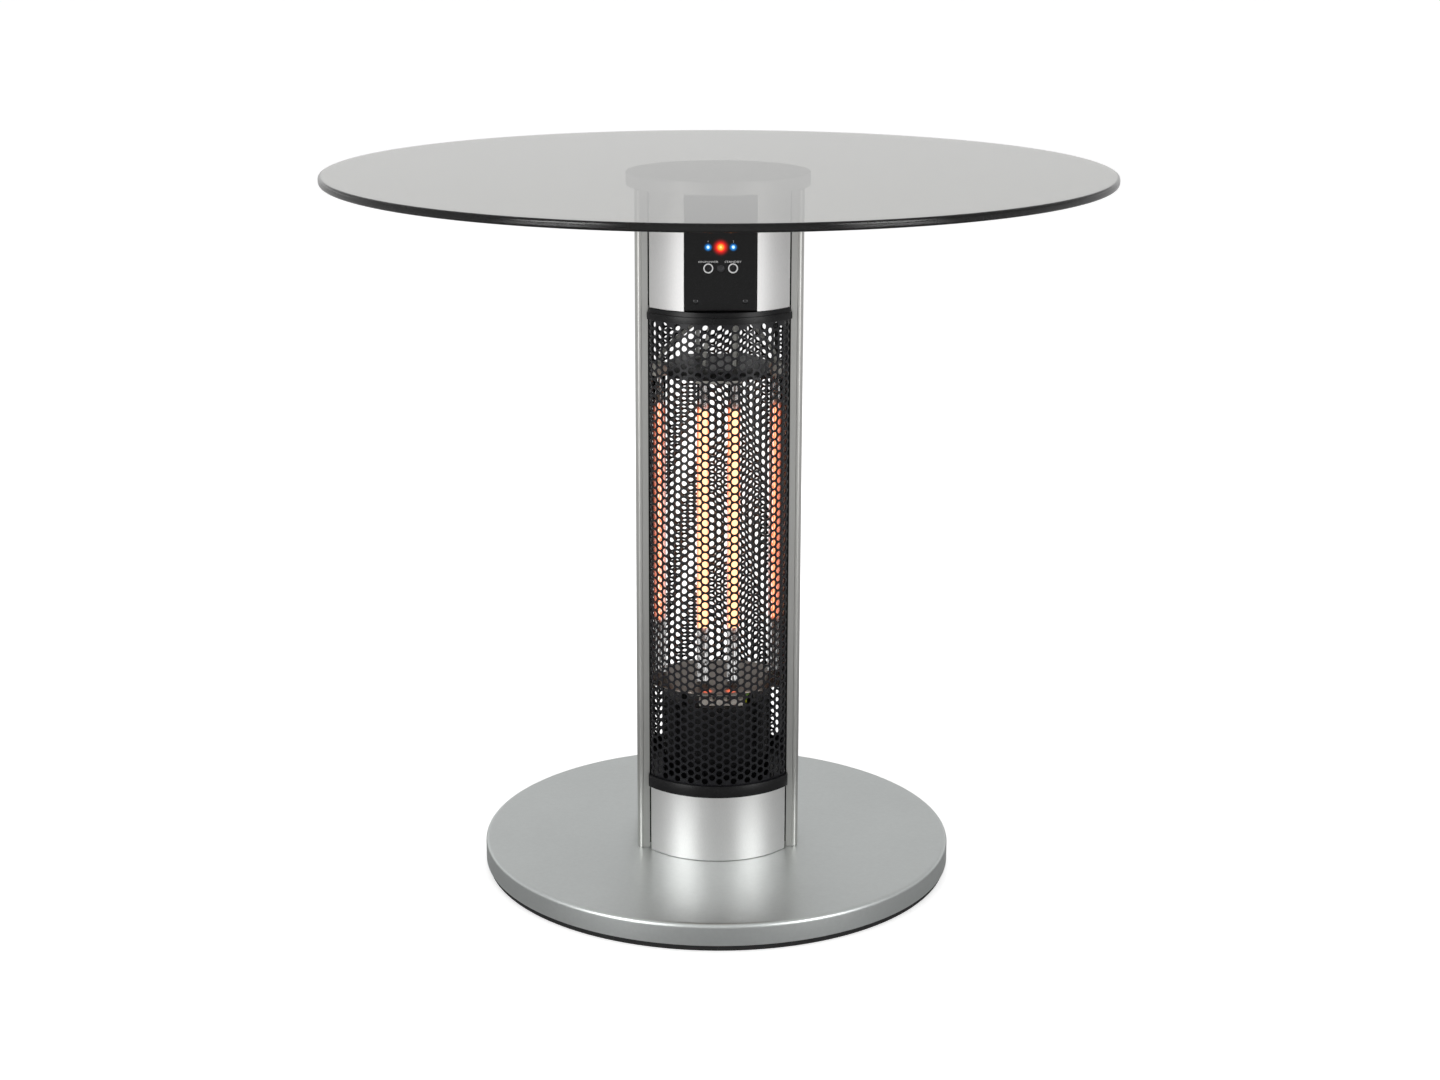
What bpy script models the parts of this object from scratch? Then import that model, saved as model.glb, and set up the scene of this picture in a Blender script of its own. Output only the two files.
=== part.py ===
"""Heated patio table: a round glass top carried by a perforated heater column on a round steel base.

The origin is the centre of the table on the ground, +Z is up and the control panel faces -Y.
Heights stack from the ground: foot ring, base, collar, lower ring, guard, upper ring, housing,
flange, glass. In plan the column is a barrel: an arc in front, an arc behind and flat sides,
with an extruded post at each of its four corners.
"""

import math

import bmesh
import bpy
from mathutils import Vector
from mathutils.geometry import delaunay_2d_cdt

MM = 0.001

# Gaps between pieces
SEAT_GAP = 0.3 * MM
SHEET_GAP = 0.8 * MM
CUT_OVERRUN = 4.0 * MM
MERGE_DISTANCE = 0.003 * MM
SMOOTH_ANGLE = math.radians(32)
DOME_SHARE = 0.7

# Glass top
GLASS_DIAMETER = 800.0 * MM
GLASS_THICKNESS = 8.0 * MM
GLASS_EDGE_SHARE = 0.4

# Base
BASE_DIAMETER = 495.0 * MM
COVER_HEIGHT = 22.4 * MM
COVER_WALL = 1.5 * MM
COVER_FILLET = 4.0 * MM
FOOT_HEIGHT = 6.3 * MM
FOOT_INSET = 5.0 * MM
FOOT_WIDTH = 20.0 * MM
FOOT_PLATE_THICKNESS = 4.0 * MM

# Column, in plan
COLUMN_RADIUS = 88.5 * MM
COLUMN_WIDTH_SHARE = 0.793
COLLAR_OVERSIZE = 1.0 * MM
SLEEVE_WALL = 1.5 * MM
GUARD_SHEET = 1.2 * MM
RING_OVERHANG = 3.0 * MM
RING_EAR = 2.7 * MM
RING_WAIST_STEP = 1.4 * MM
RING_LEDGE = 3.4 * MM
LIP_STEP = 1.7 * MM

# Column, in height
COLLAR_HEIGHT = 70.2 * MM
LOWER_RING_HEIGHT = 12.5 * MM
GUARD_OPENING = 484.7 * MM
BAND_HEIGHT = 6.8 * MM
LIP_HEIGHT = 4.7 * MM
HOUSING_HEIGHT = 108.7 * MM
FLANGE_HEIGHT = 13.9 * MM
FLANGE_OVERHANG = 5.0 * MM
FLANGE_BEVEL = 1.0 * MM
REBATE_DEPTH = 3.2 * MM
FLOOR_THICKNESS = 2.4 * MM
WIRE_PASSAGE_RADIUS = 14.0 * MM

# Guard perforation
GUARD_ROWS = 11
GUARD_STRUT_SHARE = 0.22
GUARD_MARGIN = 8.0 * MM
GUARD_EDGE = 3.0 * MM

# Corner posts
POST_WIDTH = 12.9 * MM
POST_DEPTH = 20.0 * MM
POST_SETBACK = 3.9 * MM
POST_WALL = 1.8 * MM
POST_LIP = 6.2 * MM
POST_RIDGE_WIDTH = 1.8 * MM
POST_RIDGE_HEIGHT = 0.5 * MM
POST_SHOULDER_DEPTH = 7.5 * MM
PORT_SETBACK = 12.5 * MM
PORT_WALL = 1.3 * MM
PORT_MERGE = 0.4 * MM
PORT_MOUTH_ANGLE = 130

# Bolts
BOLT_RADIUS = 2.5 * MM
BOLT_HEAD_RADIUS = 4.4 * MM
BOLT_HEAD_HEIGHT = 4.0 * MM
BOLT_ENGAGEMENT = 14.0 * MM

# Cable inlet
GLAND_HEIGHT = 22.0 * MM
GLAND_SHANK_RADIUS = 6.0 * MM
GLAND_NUT_RADIUS = 9.0 * MM
GLAND_NUT_LENGTH = 5.0 * MM
GLAND_DOME_LENGTH = 9.0 * MM
GLAND_BORE_RADIUS = 3.6 * MM
GLAND_LATCH_LENGTH = 3.0 * MM
GLAND_LATCH_RADIUS = 7.5 * MM

# Inner pieces of the foot
TERMINAL_SIZE = (44.0 * MM, 20.0 * MM, 16.0 * MM)
TERMINAL_SETBACK = 30.0 * MM
TILT_SWITCH_SIZE = (22.0 * MM, 22.0 * MM, 26.0 * MM)
TILT_SWITCH_OFFSET = 34.0 * MM

# Heater unit
DRUM_CLEARANCE = 13.5 * MM
DRUM_TOP = 185.5 * MM
DRUM_WALL = 1.2 * MM
BOSS_RADIUS = 3.5 * MM
BOSS_SHARES = (0.60, 0.42)
HEATER_SHEET = 1.5 * MM
PLATE_INSET = 9.5 * MM
REFLECTOR_TOP = 209.5 * MM
REFLECTOR_CLEARANCE = 2.0 * MM
REFLECTOR_BACK = 33.0 * MM
REFLECTOR_BACK_HALF_WIDTH = 28.0 * MM
SHADE_TOP = 542.5 * MM
SHADE_BACK = 44.0 * MM
SHADE_BACK_HALF_WIDTH = 33.0 * MM
SHADE_SKIRT = 3.0 * MM
PLATE_CHAMFER_START = 9.0 * MM
STUD_RADIUS = 2.2 * MM
STUD_OFFSET = 20.0 * MM
STUD_SETBACK = 20.0 * MM
TUBE_RADIUS = 6.5 * MM
TUBE_WALL = 1.0 * MM
PAIR_SPACING_SHARE = 0.1774
PAIR_FORWARD_SHARE = 0.3955
SIDE_TUBE_INSET = 10.2 * MM
SIDE_TUBE_FORWARD = 3.0 * MM
RIBBON_CLEARANCE = 0.5 * MM
RIBBON_THICKNESS = 1.2 * MM
RIBBON_BOTTOM = 268.0 * MM
RIBBON_TOP = 499.0 * MM
PIN_RADIUS = 0.8 * MM
SOCKET_RADIUS = 8.2 * MM
SOCKET_DEPTH = 6.0 * MM
SOCKET_HEIGHT = 13.0 * MM
LEAD_RADIUS = 2.4 * MM
LEAD_EXIT_OFFSET = 9.0 * MM
CONDUIT_RADIUS = 2.8 * MM
CONDUIT_INSET = 7.7 * MM
CONDUIT_SETBACK = 25.0 * MM
CONDUIT_FOOT_SHARE = 0.775
CONDUIT_HEAD_SHARE = 0.61
CONDUIT_SWEEP_START = 566.0 * MM
EARTH_RADIUS = 1.4 * MM
EARTH_SHARES = (0.62, 0.65)
EARTH_RUN = 6.0 * MM
CERAMIC_SIZE = (46.0 * MM, 8.0 * MM, 7.5 * MM)
CERAMIC_SHARE = 0.795
CERAMIC_OFFSET = 3.0 * MM
CERAMIC_PITCH = 13.0 * MM
CERAMIC_GROOVE = 2.6 * MM

# Control panel
PANEL_HALF_WIDTH = 36.1 * MM
PANEL_PROUD = 0.4 * MM
PANEL_PLATE = 2.4 * MM
PANEL_RIM_DEPTH = 14.0 * MM
PANEL_RIM_WALL = 1.8 * MM
PANEL_BEVEL = 0.6 * MM
LAMP_RISE = 64.0 * MM
LAMP_SPACING = 12.4 * MM
LAMP_RADIUS = 1.5 * MM
BUTTON_RISE = 43.2 * MM
BUTTON_SPACING = 12.2 * MM
BUTTON_RADIUS = 3.4 * MM
BUTTON_PROUD = 1.3 * MM
BUTTON_FACE_SHARE = 0.8
BUTTON_EDGE_SHARE = 0.6
BUTTON_FLANGE_RADIUS = 4.4 * MM
BUTTON_FLANGE_THICKNESS = 0.8 * MM
BUTTON_TRAVEL = 0.8 * MM
BEZEL_RADIUS = 4.9 * MM
BEZEL_WALL = 0.8 * MM
BEZEL_THICKNESS = 0.5 * MM
RECEIVER_RADIUS = 3.5 * MM
RECEIVER_PROUD = 0.4 * MM
PANEL_SCREW_RISE = 10.1 * MM
PANEL_SCREW_SPACING = 24.5 * MM
PANEL_SCREW_RADIUS = 1.4 * MM
PANEL_SCREW_HEAD_RADIUS = 2.5 * MM
PANEL_SCREW_HEAD_HEIGHT = 1.2 * MM
BOARD_THICKNESS = 1.6 * MM
BOARD_DEPTH = 9.0 * MM
SWITCH_SIZE = 6.0 * MM
SWITCH_DEPTH = 3.0 * MM
RELAY_SIZE = (18.0 * MM, 15.0 * MM, 24.0 * MM)
RELAY_SPACING = 13.0 * MM
RELAY_RISE = 24.0 * MM

# Facets
ARC_STEPS = 10
BASE_STEPS = 44
GLASS_STEPS = 52
FLANGE_STEPS = 32
ROUND_STEPS = 12
SMALL_STEPS = 8
FILLET_STEPS = 2
WIRE_STEPS = 5
PORT_STEPS = 4

# Places worked out from the sizes
COLUMN_HALF_WIDTH = COLUMN_RADIUS * COLUMN_WIDTH_SHARE
COLUMN_CORNER = math.sqrt(COLUMN_RADIUS ** 2 - COLUMN_HALF_WIDTH ** 2)
COLLAR_RADIUS = COLUMN_RADIUS + COLLAR_OVERSIZE
BASE_RADIUS = BASE_DIAMETER / 2
BASE_BOTTOM = FOOT_HEIGHT + SEAT_GAP
BASE_TOP = BASE_BOTTOM + COVER_HEIGHT
COLLAR_BOTTOM = BASE_TOP + SEAT_GAP
COLLAR_TOP = COLLAR_BOTTOM + COLLAR_HEIGHT
LOWER_RING_BOTTOM = COLLAR_TOP + SEAT_GAP
LOWER_RING_TOP = LOWER_RING_BOTTOM + LOWER_RING_HEIGHT
UPPER_RING_BOTTOM = LOWER_RING_TOP + GUARD_OPENING
UPPER_RING_TOP = UPPER_RING_BOTTOM + BAND_HEIGHT + LIP_HEIGHT
CEILING = UPPER_RING_TOP - FLOOR_THICKNESS
GUARD_BOTTOM = LOWER_RING_TOP - REBATE_DEPTH + SEAT_GAP
GUARD_TOP = UPPER_RING_BOTTOM + REBATE_DEPTH - SEAT_GAP
HOUSING_BOTTOM = UPPER_RING_TOP + SEAT_GAP
HOUSING_TOP = HOUSING_BOTTOM + HOUSING_HEIGHT
FLANGE_BOTTOM = HOUSING_TOP + SEAT_GAP
FLANGE_TOP = FLANGE_BOTTOM + FLANGE_HEIGHT
GLASS_BOTTOM = FLANGE_TOP + SEAT_GAP
RING_WAIST = COLUMN_HALF_WIDTH + RING_WAIST_STEP
POST_INNER = RING_WAIST + SEAT_GAP
POST_FRONT = COLUMN_CORNER - POST_SETBACK
SHOULDER = POST_FRONT + POST_RIDGE_HEIGHT + SEAT_GAP
PORT_BORE = BOLT_RADIUS + SEAT_GAP
PORT_DEPTH = POST_WIDTH - POST_WALL - PORT_BORE - PORT_WALL + PORT_MERGE
BOLT_PLACE = (POST_INNER + PORT_DEPTH, POST_FRONT - PORT_SETBACK)
DRUM_RADIUS = COLUMN_HALF_WIDTH - DRUM_CLEARANCE
PLATE_RADIUS = COLUMN_RADIUS - PLATE_INSET
REFLECTOR_HALF_WIDTH = COLUMN_HALF_WIDTH - REFLECTOR_CLEARANCE
PAIR_HALF_SPACING = COLUMN_RADIUS * PAIR_SPACING_SHARE
PAIR_FORWARD = COLUMN_RADIUS * PAIR_FORWARD_SHARE
SIDE_TUBE_OFFSET = COLUMN_HALF_WIDTH - SIDE_TUBE_INSET
RIBBON_WIDTH = 2 * (TUBE_RADIUS - TUBE_WALL - RIBBON_CLEARANCE)
CONDUIT_OFFSET = COLUMN_HALF_WIDTH - CONDUIT_INSET
PANEL_FACE = math.sqrt(COLUMN_RADIUS ** 2 - PANEL_HALF_WIDTH ** 2) + PANEL_PROUD
SHADE_HALF_WIDTH = SIDE_TUBE_OFFSET - SOCKET_RADIUS - SEAT_GAP

UP = Vector((0, 0, 1))
BACK = Vector((0, 1, 0))

# Colour, roughness and metallic value of each finish
FINISHES = {
    "glass": ((0.30, 0.33, 0.32), 0.03, 0.0),
    "satin_steel": ((0.62, 0.62, 0.60), 0.28, 1.0),
    "satin_aluminium": ((0.72, 0.72, 0.71), 0.32, 1.0),
    "zinc_steel": ((0.55, 0.55, 0.54), 0.35, 1.0),
    "cast_iron": ((0.06, 0.06, 0.06), 0.60, 0.6),
    "black_enamel": ((0.02, 0.02, 0.022), 0.38, 0.0),
    "black_plastic": ((0.02, 0.02, 0.02), 0.50, 0.0),
    "black_rubber": ((0.015, 0.015, 0.015), 0.75, 0.0),
    "bright_metal": ((0.80, 0.79, 0.76), 0.15, 1.0),
    "quartz": ((0.90, 0.88, 0.85), 0.05, 0.0),
    "carbon": ((0.95, 0.35, 0.10), 0.60, 0.0),
    "ceramic": ((0.85, 0.83, 0.78), 0.45, 0.0),
    "board_green": ((0.03, 0.14, 0.07), 0.50, 0.0),
    "earth_green": ((0.35, 0.55, 0.06), 0.50, 0.0),
    "white_plastic": ((0.80, 0.80, 0.80), 0.45, 0.0),
    "red_lens": ((0.80, 0.02, 0.02), 0.20, 0.0),
    "blue_lens": ((0.05, 0.15, 0.90), 0.20, 0.0),
    "dark_lens": ((0.10, 0.10, 0.11), 0.20, 0.0),
}


def clear_scene():
    for item in list(bpy.data.objects):
        bpy.data.objects.remove(item, do_unlink=True)


def group(name, parent=None):
    empty = bpy.data.objects.new(name, None)
    bpy.context.collection.objects.link(empty)
    empty.parent = parent
    return empty


def material_for(name, finish):
    colour, roughness, metallic = FINISHES[finish]
    material = bpy.data.materials.new(name)
    material.use_nodes = True
    shader = material.node_tree.nodes["Principled BSDF"]
    shader.inputs["Base Color"].default_value = (*colour, 1)
    shader.inputs["Roughness"].default_value = roughness
    shader.inputs["Metallic"].default_value = metallic
    return material


def piece(name, bm, finish, parent, place=(0, 0, 0), smooth=True):
    """Turn a bmesh into a named object with its own material."""
    bmesh.ops.recalc_face_normals(bm, faces=bm.faces)
    mesh = bpy.data.meshes.new(name)
    bm.to_mesh(mesh)
    bm.free()
    if smooth:
        mesh.shade_smooth()
        mesh.set_sharp_from_angle(angle=SMOOTH_ANGLE)
    mesh.materials.append(material_for(name, finish))
    item = bpy.data.objects.new(name, mesh)
    bpy.context.collection.objects.link(item)
    item.parent = parent
    item.location = place
    return item


def cutter(name, bm, place=(0, 0, 0)):
    bmesh.ops.recalc_face_normals(bm, faces=bm.faces)
    mesh = bpy.data.meshes.new(name)
    bm.to_mesh(mesh)
    bm.free()
    item = bpy.data.objects.new(name, mesh)
    bpy.context.collection.objects.link(item)
    item.location = place
    item.hide_render = True
    item.display_type = "WIRE"
    return item


def combine(item, tool, operation="DIFFERENCE"):
    modifier = item.modifiers.new(tool.name, "BOOLEAN")
    modifier.operation = operation
    modifier.solver = "EXACT"
    modifier.object = tool


def add_cap(bm, loop):
    """Close a loop: one face over four corners, or triangles over a level outline of more."""
    count = len(loop)
    if count == 4:
        bm.faces.new(loop)
        return
    points = [vert.co.xy for vert in loop]
    edges = [(k, (k + 1) % count) for k in range(count)]
    _, _, faces, sources, *_ = delaunay_2d_cdt(points, edges, [], 1, MERGE_DISTANCE)
    for face in faces:
        bm.faces.new([loop[sources[k][0]] for k in face])


def add_loft(bm, sections, ring=False):
    """Join outlines of equal count; the ends are capped unless the sections close on themselves."""
    loops = [[bm.verts.new(point) for point in section] for section in sections]
    followers = loops[1:] + loops[:1] if ring else loops[1:]
    for first, second in zip(loops, followers):
        for k in range(len(first)):
            n = (k + 1) % len(first)
            bm.faces.new((first[k], first[n], second[n], second[k]))
    if not ring:
        add_cap(bm, loops[0])
        add_cap(bm, loops[-1])


def add_turned(bm, profile, steps, origin=(0, 0, 0), axis=UP, ring=False, phase=0.5):
    """Turn a profile of (radius, distance along the axis); a ring profile closes on itself."""
    tilt = UP.rotation_difference(Vector(axis)).to_matrix()
    base = Vector(origin)
    loops = []
    for radius, along in profile:
        if radius == 0:
            loops.append([bm.verts.new(base + tilt @ Vector((0, 0, along)))])
            continue
        angles = [2 * math.pi * (k + phase) / steps for k in range(steps)]
        places = [Vector((radius * math.cos(a), radius * math.sin(a), along)) for a in angles]
        loops.append([bm.verts.new(base + tilt @ spot) for spot in places])
    followers = loops[1:] + loops[:1] if ring else loops[1:]
    for first, second in zip(loops, followers):
        for k in range(steps):
            n = (k + 1) % steps
            if len(first) == 1:
                bm.faces.new((first[0], second[k], second[n]))
            elif len(second) == 1:
                bm.faces.new((first[k], first[n], second[0]))
            else:
                bm.faces.new((first[k], first[n], second[n], second[k]))


def add_rod(bm, radius, start, end, steps=SMALL_STEPS):
    start, end = Vector(start), Vector(end)
    run = end - start
    profile = [(0, 0), (radius, 0), (radius, run.length), (0, run.length)]
    add_turned(bm, profile, steps, start, run.normalized())


def add_box(bm, low, high):
    corners = [(low[0], low[1]), (high[0], low[1]), (high[0], high[1]), (low[0], high[1])]
    add_loft(bm, [[Vector((x, y, z)) for x, y in corners] for z in (low[2], high[2])])


def level(outline, height):
    return [Vector((x, y, height)) for x, y in outline]


def arc_points(radius, half_width, side):
    """Points of one barrel arc; side -1 is the front arc from -X to +X, side 1 the rear one back."""
    reach = math.asin(half_width / radius)
    points = []
    for k in range(ARC_STEPS + 1):
        angle = reach * (2 * k / ARC_STEPS - 1)
        points.append((-side * radius * math.sin(angle), side * radius * math.cos(angle)))
    return points


def barrel(radius, half_width):
    return arc_points(radius, half_width, -1) + arc_points(radius, half_width, 1)


def eared_barrel(radius, half_width, waist):
    """A barrel whose flat sides are drawn in to the waist between its shoulders."""
    far, near = SHOULDER + SEAT_GAP, SHOULDER - SEAT_GAP
    right = [(half_width, -far), (waist, -near), (waist, near), (half_width, far)]
    left = [(-x, -y) for x, y in right]
    return arc_points(radius, half_width, -1) + right + arc_points(radius, half_width, 1) + left


def add_sleeve(bm, radius, half_width, wall, height):
    outer = barrel(radius, half_width)
    inner = barrel(radius - wall, half_width - wall)
    add_loft(bm, [level(outer, 0), level(outer, height), level(inner, height), level(inner, 0)], ring=True)


def fillet(centre_radius, centre_height, radius):
    """A quarter round from its top to its outer side, as profile points."""
    turn = math.pi / 2 / FILLET_STEPS
    return [(centre_radius + radius * math.sin(k * turn), centre_height + radius * math.cos(k * turn))
            for k in range(FILLET_STEPS + 1)]


# Base

def make_foot_ring(parent):
    outer = BASE_RADIUS - FOOT_INSET
    inner = outer - FOOT_WIDTH
    bm = bmesh.new()
    profile = [(outer, 0), (outer, FOOT_HEIGHT), (inner, FOOT_HEIGHT), (inner, 0)]
    add_turned(bm, profile, BASE_STEPS, ring=True, phase=0)
    piece("foot_ring", bm, "black_rubber", parent)


def bolt_places():
    """Name of each corner of the column and the sides it lies on."""
    return (("front_left", -1, -1), ("front_right", 1, -1), ("rear_left", -1, 1), ("rear_right", 1, 1))


def bolt_holes(name, low, high, radius):
    bm = bmesh.new()
    for _, sx, sy in bolt_places():
        x, y = sx * BOLT_PLACE[0], sy * BOLT_PLACE[1]
        add_rod(bm, radius + SEAT_GAP, (x, y, low), (x, y, high))
    return cutter(name, bm)


def make_ballast(parent):
    radius = BASE_RADIUS - COVER_WALL - SHEET_GAP
    thickness = COVER_HEIGHT - COVER_WALL - SEAT_GAP
    bevel = COVER_FILLET - COVER_WALL
    bm = bmesh.new()
    profile = [(0, 0), (radius, 0), (radius, thickness - bevel), (radius - bevel, thickness), (0, thickness)]
    add_turned(bm, profile, BASE_STEPS, phase=0)
    item = piece("ballast_plate", bm, "cast_iron", parent, (0, 0, BASE_BOTTOM))
    low = BASE_BOTTOM - CUT_OVERRUN
    combine(item, bolt_holes("ballast_bolt_holes", low, BASE_TOP, BOLT_RADIUS))
    combine(item, bolt_holes("ballast_counterbores", low, BASE_BOTTOM + BOLT_HEAD_HEIGHT + SEAT_GAP,
                             BOLT_HEAD_RADIUS))


def make_cover(parent):
    outer = fillet(BASE_RADIUS - COVER_FILLET, COVER_HEIGHT - COVER_FILLET, COVER_FILLET)
    inner = fillet(BASE_RADIUS - COVER_FILLET, COVER_HEIGHT - COVER_FILLET, COVER_FILLET - COVER_WALL)
    profile = [(0, COVER_HEIGHT)] + outer + [(BASE_RADIUS, 0), (BASE_RADIUS - COVER_WALL, 0)]
    profile += inner[::-1] + [(0, COVER_HEIGHT - COVER_WALL)]
    bm = bmesh.new()
    add_turned(bm, profile, BASE_STEPS, phase=0)
    item = piece("base_cover", bm, "satin_steel", parent, (0, 0, BASE_BOTTOM))
    combine(item, bolt_holes("cover_bolt_holes", BASE_TOP - COVER_WALL - CUT_OVERRUN, BASE_TOP + CUT_OVERRUN,
                             BOLT_RADIUS))


def make_bolt(name, place, length, axis, sizes, finish, parent):
    """A bolt whose head sits at the place and whose shank points along the axis."""
    radius, head_radius, head_height = sizes
    profile = [(0, 0), (head_radius, 0), (head_radius, head_height), (radius, head_height),
               (radius, length), (0, length)]
    bm = bmesh.new()
    add_turned(bm, profile, SMALL_STEPS, axis=axis)
    piece(name, bm, finish, parent, place)


def make_corner_bolts(prefix, height, grip, axis, parent):
    """One bolt at each corner, through the grip and into the port of the post."""
    for name, sx, sy in bolt_places():
        place = (sx * BOLT_PLACE[0], sy * BOLT_PLACE[1], height)
        make_bolt(f"{prefix}_{name}", place, grip + SEAT_GAP + BOLT_ENGAGEMENT, axis,
                  (BOLT_RADIUS, BOLT_HEAD_RADIUS, BOLT_HEAD_HEIGHT), "zinc_steel", parent)


# Column foot

def make_foot_plate(parent):
    outline = barrel(COLLAR_RADIUS - SLEEVE_WALL - SHEET_GAP, COLUMN_HALF_WIDTH - SLEEVE_WALL - SHEET_GAP)
    bm = bmesh.new()
    add_loft(bm, [level(outline, 0), level(outline, FOOT_PLATE_THICKNESS)])
    piece("foot_plate", bm, "zinc_steel", parent, (0, 0, COLLAR_BOTTOM), smooth=False)


def make_collar(parent):
    bm = bmesh.new()
    add_sleeve(bm, COLLAR_RADIUS, COLUMN_HALF_WIDTH, SLEEVE_WALL, COLLAR_HEIGHT)
    item = piece("lower_collar", bm, "satin_aluminium", parent, (0, 0, COLLAR_BOTTOM))
    bm = bmesh.new()
    height = COLLAR_BOTTOM + GLAND_HEIGHT
    add_rod(bm, GLAND_SHANK_RADIUS + SEAT_GAP, (0, COLLAR_RADIUS - SLEEVE_WALL - CUT_OVERRUN, height),
            (0, COLLAR_RADIUS + CUT_OVERRUN, height), ROUND_STEPS)
    combine(item, cutter("gland_hole", bm))


def make_gland(parent):
    """Snap-in strain relief: a shank through the collar's wall, latched inside, with a domed nut outside."""
    inside = COLLAR_RADIUS - SLEEVE_WALL - SHEET_GAP
    outside = COLLAR_RADIUS + SEAT_GAP
    nut_end = outside + GLAND_NUT_LENGTH
    dome_end = nut_end + GLAND_DOME_LENGTH
    dome_radius = (GLAND_SHANK_RADIUS + GLAND_BORE_RADIUS) / 2
    latch_start = inside - GLAND_LATCH_LENGTH
    profile = [(GLAND_SHANK_RADIUS, latch_start), (GLAND_LATCH_RADIUS, inside), (GLAND_SHANK_RADIUS, inside),
               (GLAND_SHANK_RADIUS, outside), (GLAND_NUT_RADIUS, outside), (GLAND_NUT_RADIUS, nut_end),
               (dome_radius, dome_end), (GLAND_BORE_RADIUS, dome_end), (GLAND_BORE_RADIUS, latch_start)]
    bm = bmesh.new()
    add_turned(bm, profile, ROUND_STEPS, axis=BACK, ring=True)
    piece("cable_gland", bm, "black_plastic", parent, (0, 0, COLLAR_BOTTOM + GLAND_HEIGHT))


def make_foot_internals(parent):
    height = COLLAR_BOTTOM + FOOT_PLATE_THICKNESS + SEAT_GAP
    width, depth, tall = TERMINAL_SIZE
    bm = bmesh.new()
    add_box(bm, (-width / 2, -depth / 2, 0), (width / 2, depth / 2, tall))
    piece("mains_terminal", bm, "white_plastic", parent, (0, TERMINAL_SETBACK, height), smooth=False)
    width, depth, tall = TILT_SWITCH_SIZE
    bm = bmesh.new()
    add_box(bm, (-width / 2, -depth / 2, 0), (width / 2, depth / 2, tall))
    piece("tilt_switch", bm, "black_plastic", parent, (-TILT_SWITCH_OFFSET, 0, height), smooth=False)


# Rings and guard

def rebate_outline():
    half = COLUMN_HALF_WIDTH + SEAT_GAP
    return eared_barrel(COLUMN_RADIUS + SHEET_GAP, half, half)


def ledge_outline():
    half = COLUMN_HALF_WIDTH - RING_LEDGE
    return eared_barrel(COLUMN_RADIUS - RING_LEDGE, half, half)


def ring_outline(radius, ear):
    return eared_barrel(radius, COLUMN_HALF_WIDTH + ear, RING_WAIST)


def make_lower_ring(parent):
    """Black tray that closes the collar and holds the foot of the guard in a rebate."""
    outer = ring_outline(COLUMN_RADIUS + RING_OVERHANG, RING_EAR)
    step = LOWER_RING_HEIGHT - REBATE_DEPTH
    bm = bmesh.new()
    add_loft(bm, [level(ledge_outline(), FLOOR_THICKNESS), level(ledge_outline(), step),
                  level(rebate_outline(), step), level(rebate_outline(), LOWER_RING_HEIGHT),
                  level(outer, LOWER_RING_HEIGHT), level(outer, 0)])
    item = piece("lower_ring", bm, "black_enamel", parent, (0, 0, LOWER_RING_BOTTOM))
    bm = bmesh.new()
    add_rod(bm, WIRE_PASSAGE_RADIUS, (0, 0, LOWER_RING_BOTTOM - CUT_OVERRUN),
            (0, 0, LOWER_RING_BOTTOM + FLOOR_THICKNESS + CUT_OVERRUN), ROUND_STEPS)
    combine(item, cutter("wire_passage", bm))


def make_upper_ring(parent):
    """Black ring in two tiers that caps the guard and floors the housing."""
    band = ring_outline(COLUMN_RADIUS + RING_OVERHANG, RING_EAR)
    lip_half = COLUMN_HALF_WIDTH + SHEET_GAP
    lip = eared_barrel(COLUMN_RADIUS + RING_OVERHANG - LIP_STEP, lip_half, lip_half)
    top = BAND_HEIGHT + LIP_HEIGHT
    bm = bmesh.new()
    add_loft(bm, [level(ledge_outline(), top - FLOOR_THICKNESS), level(ledge_outline(), REBATE_DEPTH),
                  level(rebate_outline(), REBATE_DEPTH), level(rebate_outline(), 0),
                  level(band, 0), level(band, BAND_HEIGHT), level(lip, BAND_HEIGHT), level(lip, top)])
    item = piece("upper_ring", bm, "black_enamel", parent, (0, 0, UPPER_RING_BOTTOM))
    bm = bmesh.new()
    low, high = CEILING - CUT_OVERRUN, UPPER_RING_TOP + CUT_OVERRUN
    for x, y in lead_exits():
        add_rod(bm, LEAD_RADIUS + SEAT_GAP, (x, y, low), (x, y, high))
    x, y = CONDUIT_OFFSET * CONDUIT_HEAD_SHARE, CONDUIT_SETBACK
    add_rod(bm, CONDUIT_RADIUS + SEAT_GAP, (x, y, low), (x, y, high))
    combine(item, cutter("ceiling_holes", bm))


def guard_point(along, height, inset):
    """Place on the guard's sheet at a distance along its plan outline, measured from the middle."""
    radius, half = COLUMN_RADIUS - inset, COLUMN_HALF_WIDTH - inset
    arc = math.asin(COLUMN_WIDTH_SHARE) * COLUMN_RADIUS
    if abs(along) <= arc:
        angle = along / arc * math.asin(half / radius)
        return Vector((radius * math.sin(angle), -radius * math.cos(angle), height))
    corner = radius * math.cos(math.asin(half / radius))
    flat = COLUMN_CORNER - SEAT_GAP / 2
    share = (abs(along) - arc) / flat
    depth = corner - share * (corner - SEAT_GAP / 2)
    return Vector((math.copysign(half, along), -depth, height))


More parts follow.
